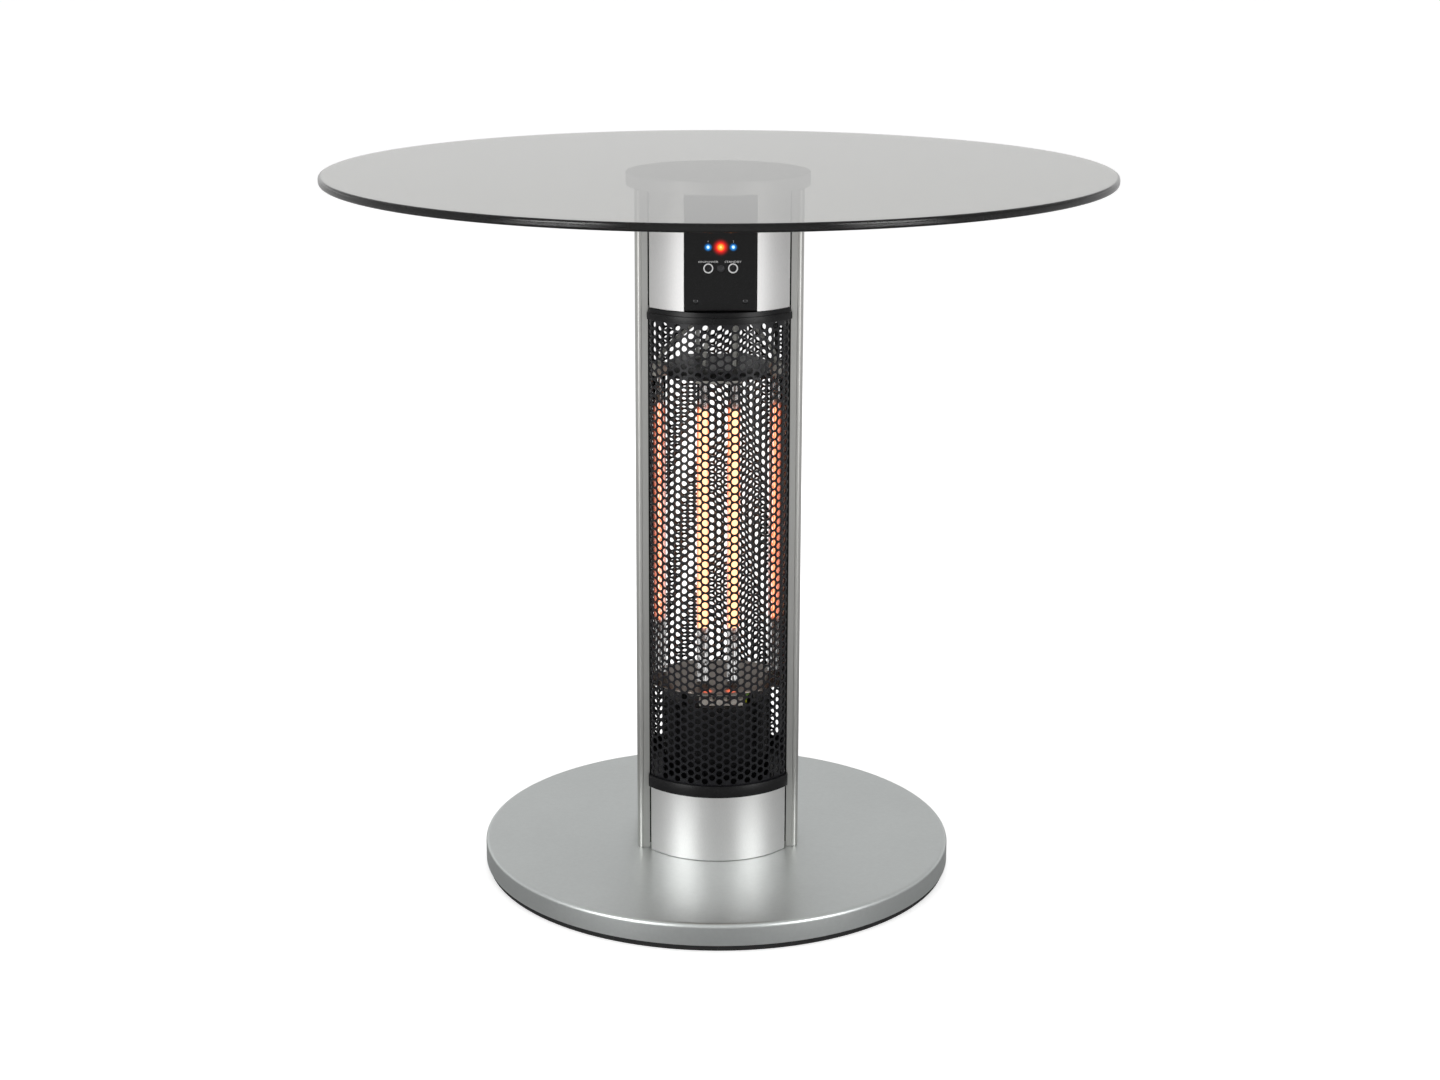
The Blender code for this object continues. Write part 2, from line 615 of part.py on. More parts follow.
def guard_lattice(half, height):
    """Pitch, half width and centres of the holes, in columns staggered by half a pitch."""
    pitch = (height - 2 * GUARD_MARGIN) / GUARD_ROWS
    spacing = pitch * math.sqrt(3) / 2
    apothem = pitch * (1 - GUARD_STRUT_SHARE) / 2
    reach = int((half - GUARD_EDGE - hexagon_corner(apothem)) / spacing)
    centres = []
    for column in range(-reach, reach + 1):
        shift = (column + 1) % 2
        for row in range(GUARD_ROWS - shift):
            centres.append((column * spacing, GUARD_MARGIN + pitch * (row + 0.5 + shift / 2)))
    return pitch, apothem, centres


def hexagon_corner(apothem):
    return apothem * 2 / math.sqrt(3)


def in_hexagon(x, y, apothem):
    return all(abs(x * math.sin(a) + y * math.cos(a)) < apothem for a in (0, math.pi / 3, -math.pi / 3))


def guard_triangles(height):
    """Flat pattern of the perforated sheet as points and triangles."""
    bend = math.asin(COLUMN_WIDTH_SHARE) * COLUMN_RADIUS
    half = bend + COLUMN_CORNER - SEAT_GAP / 2
    pitch, apothem, centres = guard_lattice(half, height)
    corner = hexagon_corner(apothem)
    turns = [k * math.pi / 3 for k in range(6)]
    points, edges = [], []

    def add_chain(chain, closed):
        first = len(points)
        points.extend(chain)
        count = len(chain) if closed else len(chain) - 1
        edges.extend((first + k, first + (k + 1) % len(chain)) for k in range(count))

    for x, y in centres:
        add_chain([Vector((x + corner * math.cos(a), y + corner * math.sin(a))) for a in turns], True)
    stations = [-half] + [bend * (2 * k / ARC_STEPS - 1) for k in range(ARC_STEPS + 1)] + [half]
    border = [Vector((x, 0)) for x in stations] + [Vector((x, height)) for x in reversed(stations)]
    add_chain(border, True)
    for x in (-bend, bend):
        add_chain([Vector((x, 0)), Vector((x, height))], False)
    flat_points, _, faces, *_ = delaunay_2d_cdt(points, edges, [], 0, MERGE_DISTANCE)
    kept = []
    for face in faces:
        middle = sum((flat_points[k] for k in face), Vector((0, 0))) / 3
        if not any(in_hexagon(middle.x - x, middle.y - y, apothem) for x, y in centres
                   if abs(middle.x - x) < pitch and abs(middle.y - y) < pitch):
            kept.append(face)
    return flat_points, kept


def make_guard(name, side, parent):
    """Half of the perforated guard: a curved sheet with flat returns; side -1 is the front half."""
    height = GUARD_TOP - GUARD_BOTTOM
    points, faces = guard_triangles(height)
    bm = bmesh.new()
    used = sorted({k for face in faces for k in face})
    outer, inner = {}, {}
    for k in used:
        for layer, inset in ((outer, 0), (inner, GUARD_SHEET)):
            spot = guard_point(points[k].x, points[k].y, inset)
            layer[k] = bm.verts.new((-side * spot.x, -side * spot.y, spot.z))
    borders = {}
    for a, b, c in faces:
        bm.faces.new((outer[a], outer[b], outer[c]))
        bm.faces.new((inner[c], inner[b], inner[a]))
        for edge in ((a, b), (b, c), (c, a)):
            key = frozenset(edge)
            borders[key] = None if key in borders else edge
    for edge in borders.values():
        if edge:
            a, b = edge
            bm.faces.new((outer[b], outer[a], inner[a], inner[b]))
    piece(name, bm, "black_enamel", parent, (0, 0, GUARD_BOTTOM))


# Corner posts

def turn_points(centre, radius, start, end, steps):
    """Points of an arc between two angles in degrees."""
    angles = [math.radians(start + (end - start) * k / steps) for k in range(steps + 1)]
    return [(centre[0] + radius * math.cos(a), centre[1] + radius * math.sin(a)) for a in angles]


def post_outline(sx, sy):
    """Channel open towards the column, with a flat lip, a ridge, a rounded corner and a bolt port."""
    crest = POST_LIP + POST_RIDGE_WIDTH / 2
    corner = POST_LIP + POST_RIDGE_WIDTH
    web = POST_WIDTH - POST_WALL
    inner_depth = POST_DEPTH - POST_WALL
    shoulder = [(corner + (POST_WIDTH - corner) * math.sin(a), POST_SHOULDER_DEPTH * (1 - math.cos(a)))
                for a in (math.pi / 6, math.pi / 3)]
    centre = (PORT_DEPTH, PORT_SETBACK)
    outer = PORT_BORE + PORT_WALL
    merge = math.degrees(math.acos((web - PORT_DEPTH) / outer))
    mouth = PORT_MOUTH_ANGLE
    port = turn_points(centre, outer, merge, mouth, PORT_STEPS)
    port += turn_points(centre, PORT_BORE, mouth, -mouth, 2 * PORT_STEPS)
    port += turn_points(centre, outer, -mouth, -merge, PORT_STEPS)
    points = [(0, 0), (POST_LIP, 0), (crest, -POST_RIDGE_HEIGHT), (corner, 0)] + shoulder
    points += [(POST_WIDTH, POST_SHOULDER_DEPTH), (POST_WIDTH, POST_DEPTH), (0, POST_DEPTH), (0, inner_depth),
               (web, inner_depth)]
    points += port + [(web, POST_SHOULDER_DEPTH), (crest, POST_WALL), (0, POST_WALL)]
    return [(sx * (POST_INNER + u), sy * (POST_FRONT - w)) for u, w in points]


def make_posts(parent):
    height = HOUSING_TOP - COLLAR_BOTTOM
    for name, sx, sy in bolt_places():
        outline = post_outline(sx, sy)
        bm = bmesh.new()
        add_loft(bm, [level(outline, 0), level(outline, height)])
        piece("post_" + name, bm, "satin_aluminium", parent, (0, 0, COLLAR_BOTTOM))


# Heater unit

def tube_places():
    """Name, plan position and ribbon direction of each heating tube."""
    return (("front_left", -PAIR_HALF_SPACING, -PAIR_FORWARD, "front"),
            ("front_right", PAIR_HALF_SPACING, -PAIR_FORWARD, "front"),
            ("left", -SIDE_TUBE_OFFSET, -SIDE_TUBE_FORWARD, "side"),
            ("right", SIDE_TUBE_OFFSET, -SIDE_TUBE_FORWARD, "side"))


def lead_exits():
    """Where the four leads pass through the ceiling, in the order of the tubes."""
    return ((LEAD_EXIT_OFFSET - PAIR_HALF_SPACING, -PAIR_FORWARD),
            (PAIR_HALF_SPACING, -PAIR_FORWARD),
            (-LEAD_EXIT_OFFSET, -SIDE_TUBE_FORWARD),
            (LEAD_EXIT_OFFSET + PAIR_HALF_SPACING, -SIDE_TUBE_FORWARD))


def socket_top(x):
    """Top of an upper socket: the pair hangs under the shade, the side ones stand beside it."""
    return SHADE_TOP if abs(x) > SHADE_HALF_WIDTH else SHADE_TOP - HEATER_SHEET - SEAT_GAP


def tube_span(x):
    """Lowest and highest point of a quartz tube, between the floors of its two sockets."""
    low = REFLECTOR_TOP - HEATER_SHEET - SOCKET_DEPTH
    return low, socket_top(x) - SOCKET_HEIGHT + SOCKET_DEPTH - SEAT_GAP


def plate_outline(half_width, back, back_half_width):
    """Plan of a heater plate: an arc in front, straight sides and chamfered rear corners."""
    rear = [(half_width, PLATE_CHAMFER_START), (back_half_width, back),
            (-back_half_width, back), (-half_width, PLATE_CHAMFER_START)]
    return arc_points(PLATE_RADIUS, half_width, -1) + rear


def make_drum(parent):
    """Black drum on the tray, closed at the top, with two bosses that carry the reflector."""
    bottom = LOWER_RING_BOTTOM + FLOOR_THICKNESS + SEAT_GAP
    height = DRUM_TOP - bottom
    inner = DRUM_RADIUS - DRUM_WALL
    profile = [(0, height), (DRUM_RADIUS, height), (DRUM_RADIUS, 0), (inner, 0), (inner, height - DRUM_WALL),
               (0, height - DRUM_WALL)]
    bm = bmesh.new()
    add_turned(bm, profile, 2 * ROUND_STEPS)
    item = piece("inner_drum", bm, "black_enamel", parent, (0, 0, bottom))
    top = REFLECTOR_TOP - HEATER_SHEET - SEAT_GAP
    x, y = (DRUM_RADIUS * share for share in BOSS_SHARES)
    bm = bmesh.new()
    for side in (-1, 1):
        add_rod(bm, BOSS_RADIUS, (side * x, -y, DRUM_TOP - DRUM_WALL / 2), (side * x, -y, top))
    combine(item, cutter("drum_bosses", bm), "UNION")


def make_reflector(parent):
    outline = plate_outline(REFLECTOR_HALF_WIDTH, REFLECTOR_BACK, REFLECTOR_BACK_HALF_WIDTH)
    bottom = REFLECTOR_TOP - HEATER_SHEET
    bm = bmesh.new()
    add_loft(bm, [level(outline, 0), level(outline, HEATER_SHEET)])
    item = piece("reflector", bm, "bright_metal", parent, (0, 0, bottom))
    bm = bmesh.new()
    for _, x, y, _ in tube_places():
        add_rod(bm, TUBE_RADIUS + SEAT_GAP, (x, y, bottom - CUT_OVERRUN), (x, y, REFLECTOR_TOP + CUT_OVERRUN),
                ROUND_STEPS)
    combine(item, cutter("reflector_holes", bm))


def make_shade(parent):
    """Black plate with a turned-down rim over the tubes, hung from the ceiling by two studs."""
    outline = plate_outline(SHADE_HALF_WIDTH, SHADE_BACK, SHADE_BACK_HALF_WIDTH)
    shrink = 1 - HEATER_SHEET / SHADE_BACK
    inner = [(x * shrink, y * shrink) for x, y in outline]
    drop = HEATER_SHEET + SHADE_SKIRT
    bm = bmesh.new()
    add_loft(bm, [level(inner, SHADE_SKIRT), level(inner, 0), level(outline, 0), level(outline, drop)])
    item = piece("upper_shade", bm, "black_enamel", parent, (0, 0, SHADE_TOP - drop))
    bm = bmesh.new()
    for _, x, y, _ in tube_places()[:2]:
        add_rod(bm, LEAD_RADIUS + SEAT_GAP, (x, y, SHADE_TOP - HEATER_SHEET - CUT_OVERRUN),
                (x, y, SHADE_TOP + CUT_OVERRUN))
    combine(item, cutter("shade_holes", bm))
    bm = bmesh.new()
    for x in (-STUD_OFFSET, STUD_OFFSET):
        add_rod(bm, STUD_RADIUS, (x, STUD_SETBACK, SHADE_TOP - HEATER_SHEET / 2),
                (x, STUD_SETBACK, CEILING - SEAT_GAP))
    combine(item, cutter("shade_studs", bm), "UNION")


def make_tube(name, x, y, parent):
    low, high = tube_span(x)
    inner = TUBE_RADIUS - TUBE_WALL
    height = high - low
    profile = [(TUBE_RADIUS, 0), (TUBE_RADIUS, height), (inner, height), (inner, 0)]
    bm = bmesh.new()
    add_turned(bm, profile, ROUND_STEPS, ring=True)
    piece("tube_" + name, bm, "quartz", parent, (x, y, low))


def eight_sided(centre, half_x, half_y):
    """Level section with bevelled corners."""
    corner = math.cos(math.pi / 8)
    wide, deep = half_x / corner, half_y / corner
    angles = [math.pi * (k + 0.5) / 4 for k in range(8)]
    return [centre + Vector((wide * math.cos(a), deep * math.sin(a), 0)) for a in angles]


def eased_route(start, end):
    """A run that leaves and arrives upright and moves across between."""
    start, end = Vector(start), Vector(end)
    points = []
    for k in range(WIRE_STEPS + 1):
        t = k / WIRE_STEPS
        across = t * t * (3 - 2 * t)
        points.append(Vector((start.x + (end.x - start.x) * across, start.y + (end.y - start.y) * across,
                              start.z + (end.z - start.z) * t)))
    return points


def make_element(name, x, y, facing, exit_place, parent):
    """Flat ribbon on two pins inside the tube, with the sleeved lead that leaves through the ceiling."""
    low, high = tube_span(x)
    half_wide, half_thin = RIBBON_WIDTH / 2, RIBBON_THICKNESS / 2
    ribbon = (half_wide, half_thin) if facing == "front" else (half_thin, half_wide)
    pin = (PIN_RADIUS, PIN_RADIUS)
    lead = (LEAD_RADIUS / math.sqrt(2), LEAD_RADIUS / math.sqrt(2))
    floor = high + SEAT_GAP
    steps = [(low + SEAT_GAP, pin), (RIBBON_BOTTOM, pin), (RIBBON_BOTTOM, ribbon), (RIBBON_TOP, ribbon),
             (RIBBON_TOP, pin), (floor, pin), (floor, lead)]
    sections = [eight_sided(Vector((x, y, z)), *half) for z, half in steps]
    start = max(socket_top(x), SHADE_TOP) + SEAT_GAP
    route = eased_route((x, y, start), (*exit_place, CEILING - SEAT_GAP))
    route.append(Vector((*exit_place, UPPER_RING_TOP - SEAT_GAP)))
    sections += [eight_sided(spot, *lead) for spot in route]
    bm = bmesh.new()
    add_loft(bm, sections)
    for vert in bm.verts:
        vert.co -= Vector((x, y, low))
    piece("element_" + name, bm, "carbon", parent, (x, y, low))


def make_socket(name, x, y, floor, opening, parent):
    """Ceramic cup with a bored floor; it opens upwards for 1 and downwards for -1."""
    bore = TUBE_RADIUS + SEAT_GAP
    pin = LEAD_RADIUS + SEAT_GAP
    profile = [(pin, 0), (SOCKET_RADIUS, 0), (SOCKET_RADIUS, SOCKET_HEIGHT), (bore, SOCKET_HEIGHT),
               (bore, SOCKET_HEIGHT - SOCKET_DEPTH), (pin, SOCKET_HEIGHT - SOCKET_DEPTH)]
    bm = bmesh.new()
    add_turned(bm, profile, ROUND_STEPS, axis=(0, 0, opening), ring=True)
    return piece(name, bm, "ceramic", parent, (x, y, floor))


def make_tubes(parent):
    """The four tubes with their elements and sockets; each pair of front sockets is one bridged ceramic."""
    for (name, x, y, facing), exit_place in zip(tube_places(), lead_exits()):
        make_tube(name, x, y, parent)
        make_element(name, x, y, facing, exit_place, parent)
    bottom = REFLECTOR_TOP - HEATER_SHEET - SEAT_GAP - SOCKET_HEIGHT
    for prefix, floor, opening in (("lower", lambda x: bottom, 1), ("upper", socket_top, -1)):
        for name, x, y, facing in tube_places():
            if facing == "side":
                make_socket(f"{prefix}_socket_{name}", x, y, floor(x), opening, parent)
        make_pair_socket(prefix + "_socket_pair", floor(0), opening, parent)


def make_pair_socket(name, floor, opening, parent):
    """Oblong ceramic with two bored cups for the front pair."""
    half, radius = PAIR_HALF_SPACING, SOCKET_RADIUS
    outline = turn_points((half, 0), radius, -90, 90, ROUND_STEPS // 2)
    outline += turn_points((-half, 0), radius, 90, 270, ROUND_STEPS // 2)
    bm = bmesh.new()
    add_loft(bm, [level(outline, 0), level(outline, opening * SOCKET_HEIGHT)])
    item = piece(name, bm, "ceramic", parent, (0, -PAIR_FORWARD, floor))
    seat = floor + opening * (SOCKET_HEIGHT - SOCKET_DEPTH)
    bm = bmesh.new()
    for x in (-half, half):
        add_rod(bm, TUBE_RADIUS + SEAT_GAP, (x, -PAIR_FORWARD, seat),
                (x, -PAIR_FORWARD, seat + opening * (SOCKET_DEPTH + CUT_OVERRUN)), ROUND_STEPS)
    combine(item, cutter(name + "_cups", bm))
    bm = bmesh.new()
    for x in (-half, half):
        add_rod(bm, LEAD_RADIUS + SEAT_GAP, (x, -PAIR_FORWARD, floor - opening * CUT_OVERRUN),
                (x, -PAIR_FORWARD, seat + opening * CUT_OVERRUN))
    combine(item, cutter(name + "_bores", bm))


def make_wire(name, route, radius, finish, parent):
    """A wire as a bevelled curve with closed ends."""
    curve = bpy.data.curves.new(name, "CURVE")
    curve.dimensions = "3D"
    curve.bevel_depth = radius
    curve.bevel_resolution = 2
    curve.use_fill_caps = True
    spline = curve.splines.new("POLY")
    spline.points.add(len(route) - 1)
    for point, spot in zip(spline.points, route):
        point.co = (*spot, 1)
    curve.materials.append(material_for(name, finish))
    item = bpy.data.objects.new(name, curve)
    bpy.context.collection.objects.link(item)
    item.parent = parent


def make_conduit(parent):
    """Conduit that takes the mains wires from the drum up behind the right-hand tube."""
    x, y = CONDUIT_OFFSET, CONDUIT_SETBACK
    foot_x, head_x = DRUM_RADIUS * CONDUIT_FOOT_SHARE, x * CONDUIT_HEAD_SHARE
    route = [Vector((foot_x, y, DRUM_TOP + SEAT_GAP))]
    route += eased_route((foot_x, y, DRUM_TOP + 2 * CONDUIT_RADIUS), (x, y, REFLECTOR_TOP))
    route += eased_route((x, y, CONDUIT_SWEEP_START), (head_x, y, CEILING - SEAT_GAP))
    route += [Vector((head_x, y, UPPER_RING_TOP - SEAT_GAP))]
    make_wire("wire_conduit", route, CONDUIT_RADIUS, "black_plastic", parent)


def make_earth_lead(parent):
    """Earth wire from the drum's top to the underside of the reflector."""
    x, y = DRUM_RADIUS * EARTH_SHARES[0], -DRUM_RADIUS * EARTH_SHARES[1]
    top = REFLECTOR_TOP - HEATER_SHEET - SEAT_GAP
    route = [Vector((x - EARTH_RUN, y, DRUM_TOP + SEAT_GAP))]
    route += eased_route((x - EARTH_RUN, y, DRUM_TOP + 2 * EARTH_RADIUS), (x, y, top - 2 * EARTH_RADIUS))
    route += [Vector((x, y, top))]
    make_wire("earth_lead", route, EARTH_RADIUS, "earth_green", parent)


def make_terminal_block(parent):
    """Ceramic terminal strip on the drum's top, grooved between its poles."""
    width, depth, tall = CERAMIC_SIZE
    place = (CERAMIC_OFFSET, -DRUM_RADIUS * CERAMIC_SHARE, DRUM_TOP + SEAT_GAP)
    bm = bmesh.new()
    add_box(bm, (-width / 2, -depth / 2, 0), (width / 2, depth / 2, tall))
    item = piece("terminal_block", bm, "ceramic", parent, place, smooth=False)
    count = max(1, int(width / CERAMIC_PITCH))
    bm = bmesh.new()
    for k in range(1, count):
        x = -width / 2 + k * width / count
        add_box(bm, (x - CERAMIC_GROOVE / 2, -depth / 2 - CUT_OVERRUN, tall - CERAMIC_GROOVE),
                (x + CERAMIC_GROOVE / 2, depth / 2 + CUT_OVERRUN, tall + CUT_OVERRUN))
    combine(item, cutter("terminal_grooves", bm, place))


# Upper housing and controls

def make_housing(parent):
    """Silver sleeve with a full-height slot in front for the control panel."""
    bm = bmesh.new()
    add_sleeve(bm, COLUMN_RADIUS, COLUMN_HALF_WIDTH, SLEEVE_WALL, HOUSING_HEIGHT)
    item = piece("upper_housing", bm, "satin_aluminium", parent, (0, 0, HOUSING_BOTTOM))
    half = PANEL_HALF_WIDTH + SEAT_GAP
    bm = bmesh.new()
    add_box(bm, (-half, -COLUMN_RADIUS - CUT_OVERRUN, HOUSING_BOTTOM - CUT_OVERRUN),
            (half, -COLUMN_RADIUS / 2, HOUSING_TOP + CUT_OVERRUN))
    combine(item, cutter("panel_slot", bm))


def panel_section(half_width, low, high, y):
    return [Vector((-half_width, y, low)), Vector((half_width, y, low)),
            Vector((half_width, y, high)), Vector((-half_width, y, high))]


def make_panel(parent):
    """Flat moulded panel with a bevelled face and a deep rim behind it."""
    low, high = SEAT_GAP, HOUSING_HEIGHT - SEAT_GAP
    inset, wall = PANEL_BEVEL, PANEL_RIM_WALL
    back = PANEL_RIM_DEPTH
    bm = bmesh.new()
    add_loft(bm, [panel_section(PANEL_HALF_WIDTH - wall, low + wall, high - wall, PANEL_PLATE),
                  panel_section(PANEL_HALF_WIDTH - wall, low + wall, high - wall, back),
                  panel_section(PANEL_HALF_WIDTH, low, high, back),
                  panel_section(PANEL_HALF_WIDTH, low, high, inset),
                  panel_section(PANEL_HALF_WIDTH - inset, low + inset, high - inset, 0)])
    item = piece("control_panel", bm, "black_plastic", parent, (0, -PANEL_FACE, HOUSING_BOTTOM), smooth=False)
    through = PANEL_PLATE + CUT_OVERRUN
    bm = bmesh.new()

    def bore(x, rise, radius, depth, steps=SMALL_STEPS):
        add_rod(bm, radius, (x, -CUT_OVERRUN, rise), (x, depth, rise), steps)

    for x in (-LAMP_SPACING, 0, LAMP_SPACING):
        bore(x, LAMP_RISE, LAMP_RADIUS + SEAT_GAP, through)
    for x in (-BUTTON_SPACING, BUTTON_SPACING):
        bore(x, BUTTON_RISE, BUTTON_RADIUS + 2 * SEAT_GAP + BEZEL_WALL, through, ROUND_STEPS)
    bore(0, BUTTON_RISE, RECEIVER_RADIUS + SEAT_GAP, through, ROUND_STEPS)
    for x in (-PANEL_SCREW_SPACING, PANEL_SCREW_SPACING):
        bore(x, PANEL_SCREW_RISE, PANEL_SCREW_RADIUS + SEAT_GAP, through)
    combine(item, cutter("panel_bores", bm, (0, -PANEL_FACE, HOUSING_BOTTOM)))
    bm = bmesh.new()
    for x in (-PANEL_SCREW_SPACING, PANEL_SCREW_SPACING):
        bore(x, PANEL_SCREW_RISE, PANEL_SCREW_HEAD_RADIUS + SEAT_GAP, PANEL_SCREW_HEAD_HEIGHT + SEAT_GAP)
    combine(item, cutter("panel_counterbores", bm, (0, -PANEL_FACE, HOUSING_BOTTOM)))


def make_lamp(name, x, finish, parent):
    """Domed indicator lamp in the panel's face, seated on the board."""
    bm = bmesh.new()
    end = BOARD_DEPTH - SEAT_GAP
    profile = [(0, -LAMP_RADIUS / 2), (LAMP_RADIUS * DOME_SHARE, -LAMP_RADIUS / 4),
               (LAMP_RADIUS, LAMP_RADIUS / 2), (LAMP_RADIUS, end), (0, end)]
    add_turned(bm, profile, SMALL_STEPS, axis=BACK)
    piece(name, bm, finish, parent, (x, -PANEL_FACE, HOUSING_BOTTOM + LAMP_RISE))


def make_receiver(parent):
    """Window of the remote control's receiver, between the buttons."""
    end = BOARD_DEPTH - SEAT_GAP
    profile = [(0, -RECEIVER_PROUD), (RECEIVER_RADIUS * DOME_SHARE, -RECEIVER_PROUD / 2),
               (RECEIVER_RADIUS, 0), (RECEIVER_RADIUS, end), (0, end)]
    bm = bmesh.new()
    add_turned(bm, profile, ROUND_STEPS, axis=BACK)
    piece("receiver_window", bm, "dark_lens", parent, (0, -PANEL_FACE, HOUSING_BOTTOM + BUTTON_RISE))


def make_bezel(name, x, parent):
    """White ring that lines a button's bore."""
    bore = BUTTON_RADIUS + SEAT_GAP
    face = -SEAT_GAP - BEZEL_THICKNESS
    profile = [(bore, face), (BEZEL_RADIUS, face), (BEZEL_RADIUS, -SEAT_GAP), (bore + BEZEL_WALL, -SEAT_GAP),
               (bore + BEZEL_WALL, PANEL_PLATE), (bore, PANEL_PLATE)]
    bm = bmesh.new()
    add_turned(bm, profile, ROUND_STEPS, axis=BACK, ring=True)
    piece(name, bm, "white_plastic", parent, (x, -PANEL_FACE, HOUSING_BOTTOM + BUTTON_RISE))


def make_button(name, x, parent):
    """Push button whose flange stops it behind the bezel; it travels back along +Y."""
    flange = PANEL_PLATE + SEAT_GAP
    stem_start = flange + BUTTON_FLANGE_THICKNESS
    end = BOARD_DEPTH - SWITCH_DEPTH - BUTTON_TRAVEL - 2 * SEAT_GAP
    profile = [(0, -BUTTON_PROUD), (BUTTON_RADIUS * BUTTON_FACE_SHARE, -BUTTON_PROUD),
               (BUTTON_RADIUS, -BUTTON_PROUD * BUTTON_EDGE_SHARE), (BUTTON_RADIUS, flange),
               (BUTTON_FLANGE_RADIUS, flange), (BUTTON_FLANGE_RADIUS, stem_start),
               (BUTTON_RADIUS / 2, stem_start), (BUTTON_RADIUS / 2, end), (0, end)]
    bm = bmesh.new()
    add_turned(bm, profile, ROUND_STEPS, axis=BACK)
    piece(name, bm, "black_plastic", parent, (x, -PANEL_FACE, HOUSING_BOTTOM + BUTTON_RISE))


def make_board(parent):
    """Circuit board in the panel's rim, with a switch behind each button and two relays at its back."""
    wall = PANEL_RIM_WALL + SEAT_GAP
    low, high = SEAT_GAP + wall, HOUSING_HEIGHT - SEAT_GAP - wall
    half = PANEL_HALF_WIDTH - wall
    place = (0, BOARD_DEPTH - PANEL_FACE, HOUSING_BOTTOM)
    bm = bmesh.new()
    add_box(bm, (-half, 0, low), (half, BOARD_THICKNESS, high))
    item = piece("circuit_board", bm, "board_green", parent, place, smooth=False)
    middle = BOARD_THICKNESS / 2
    side = SWITCH_SIZE / 2
    wide, deep, tall = RELAY_SIZE
    bm = bmesh.new()
    for sign in (-1, 1):
        x = sign * BUTTON_SPACING
        add_box(bm, (x - side, -SWITCH_DEPTH, BUTTON_RISE - side), (x + side, middle, BUTTON_RISE + side))
        x = sign * RELAY_SPACING
        add_box(bm, (x - wide / 2, middle, RELAY_RISE),
                (x + wide / 2, BOARD_THICKNESS + deep, RELAY_RISE + tall))
    combine(item, cutter("board_components", bm, place), "UNION")


def make_panel_screw(name, x, parent):
    """Screw through the panel's face into the board."""
    make_bolt(name, (x, -PANEL_FACE, HOUSING_BOTTOM + PANEL_SCREW_RISE), BOARD_DEPTH - SEAT_GAP, BACK,
              (PANEL_SCREW_RADIUS, PANEL_SCREW_HEAD_RADIUS, PANEL_SCREW_HEAD_HEIGHT), "black_enamel", parent)


# Top

def make_flange(parent):
    """Turned disc that is bolted to the posts and glued under the glass."""
    radius, height, bevel = COLUMN_RADIUS + FLANGE_OVERHANG, FLANGE_HEIGHT, FLANGE_BEVEL
    profile = [(0, 0), (radius - bevel, 0), (radius, bevel), (radius, height - bevel),
               (radius - bevel, height), (0, height)]
    bm = bmesh.new()
    add_turned(bm, profile, FLANGE_STEPS)
    item = piece("top_flange", bm, "satin_aluminium", parent, (0, 0, FLANGE_BOTTOM))
    combine(item, bolt_holes("flange_bolt_holes", FLANGE_BOTTOM - CUT_OVERRUN, FLANGE_TOP, BOLT_RADIUS))
    combine(item, bolt_holes("flange_counterbores", FLANGE_TOP - BOLT_HEAD_HEIGHT - SEAT_GAP,
                             FLANGE_TOP + CUT_OVERRUN, BOLT_HEAD_RADIUS))


def make_glass(parent):
    """Glass disc with a rounded edge, glued to the flange."""
    radius, edge = GLASS_DIAMETER / 2, GLASS_THICKNESS * GLASS_EDGE_SHARE
    upper = fillet(radius - edge, GLASS_THICKNESS - edge, edge)
    lower = [(r, GLASS_THICKNESS - z) for r, z in reversed(upper)]
    bm = bmesh.new()
    add_turned(bm, [(0, GLASS_THICKNESS)] + upper + lower + [(0, 0)], GLASS_STEPS, phase=0)
    piece("glass_top", bm, "glass", parent, (0, 0, GLASS_BOTTOM))


def main():
    clear_scene()
    table = group("table")
    base, column = group("base_group", table), group("column_group", table)
    heater, head = group("heater_group", table), group("head_group", table)
    make_foot_ring(base)
    make_ballast(base)
    make_cover(base)
    make_corner_bolts("base_bolt", BASE_BOTTOM, COVER_HEIGHT, UP, base)
    make_foot_plate(column)
    make_collar(column)
    make_gland(column)
    make_foot_internals(column)
    make_lower_ring(column)
    make_upper_ring(column)
    make_guard("guard_front", -1, column)
    make_guard("guard_rear", 1, column)
    make_posts(column)
    make_drum(heater)
    make_terminal_block(heater)
    make_reflector(heater)
    make_shade(heater)
    make_tubes(heater)
    make_conduit(heater)
    make_earth_lead(heater)
    make_housing(head)
    make_panel(head)
    make_lamp("power_lamp", 0, "red_lens", head)
    make_lamp("status_lamp_left", -LAMP_SPACING, "blue_lens", head)
    make_lamp("status_lamp_right", LAMP_SPACING, "blue_lens", head)
    make_receiver(head)
    make_bezel("power_button_bezel", -BUTTON_SPACING, head)
    make_bezel("standby_button_bezel", BUTTON_SPACING, head)
    make_button("power_button", -BUTTON_SPACING, head)
    make_button("standby_button", BUTTON_SPACING, head)
    make_board(head)
    make_panel_screw("panel_screw_left", -PANEL_SCREW_SPACING, head)
    make_panel_screw("panel_screw_right", PANEL_SCREW_SPACING, head)
    make_flange(head)
    make_corner_bolts("flange_bolt", FLANGE_TOP, FLANGE_HEIGHT, -UP, head)
    make_glass(head)


main()
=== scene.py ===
"""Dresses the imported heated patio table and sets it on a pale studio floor."""

import math
from functools import cache

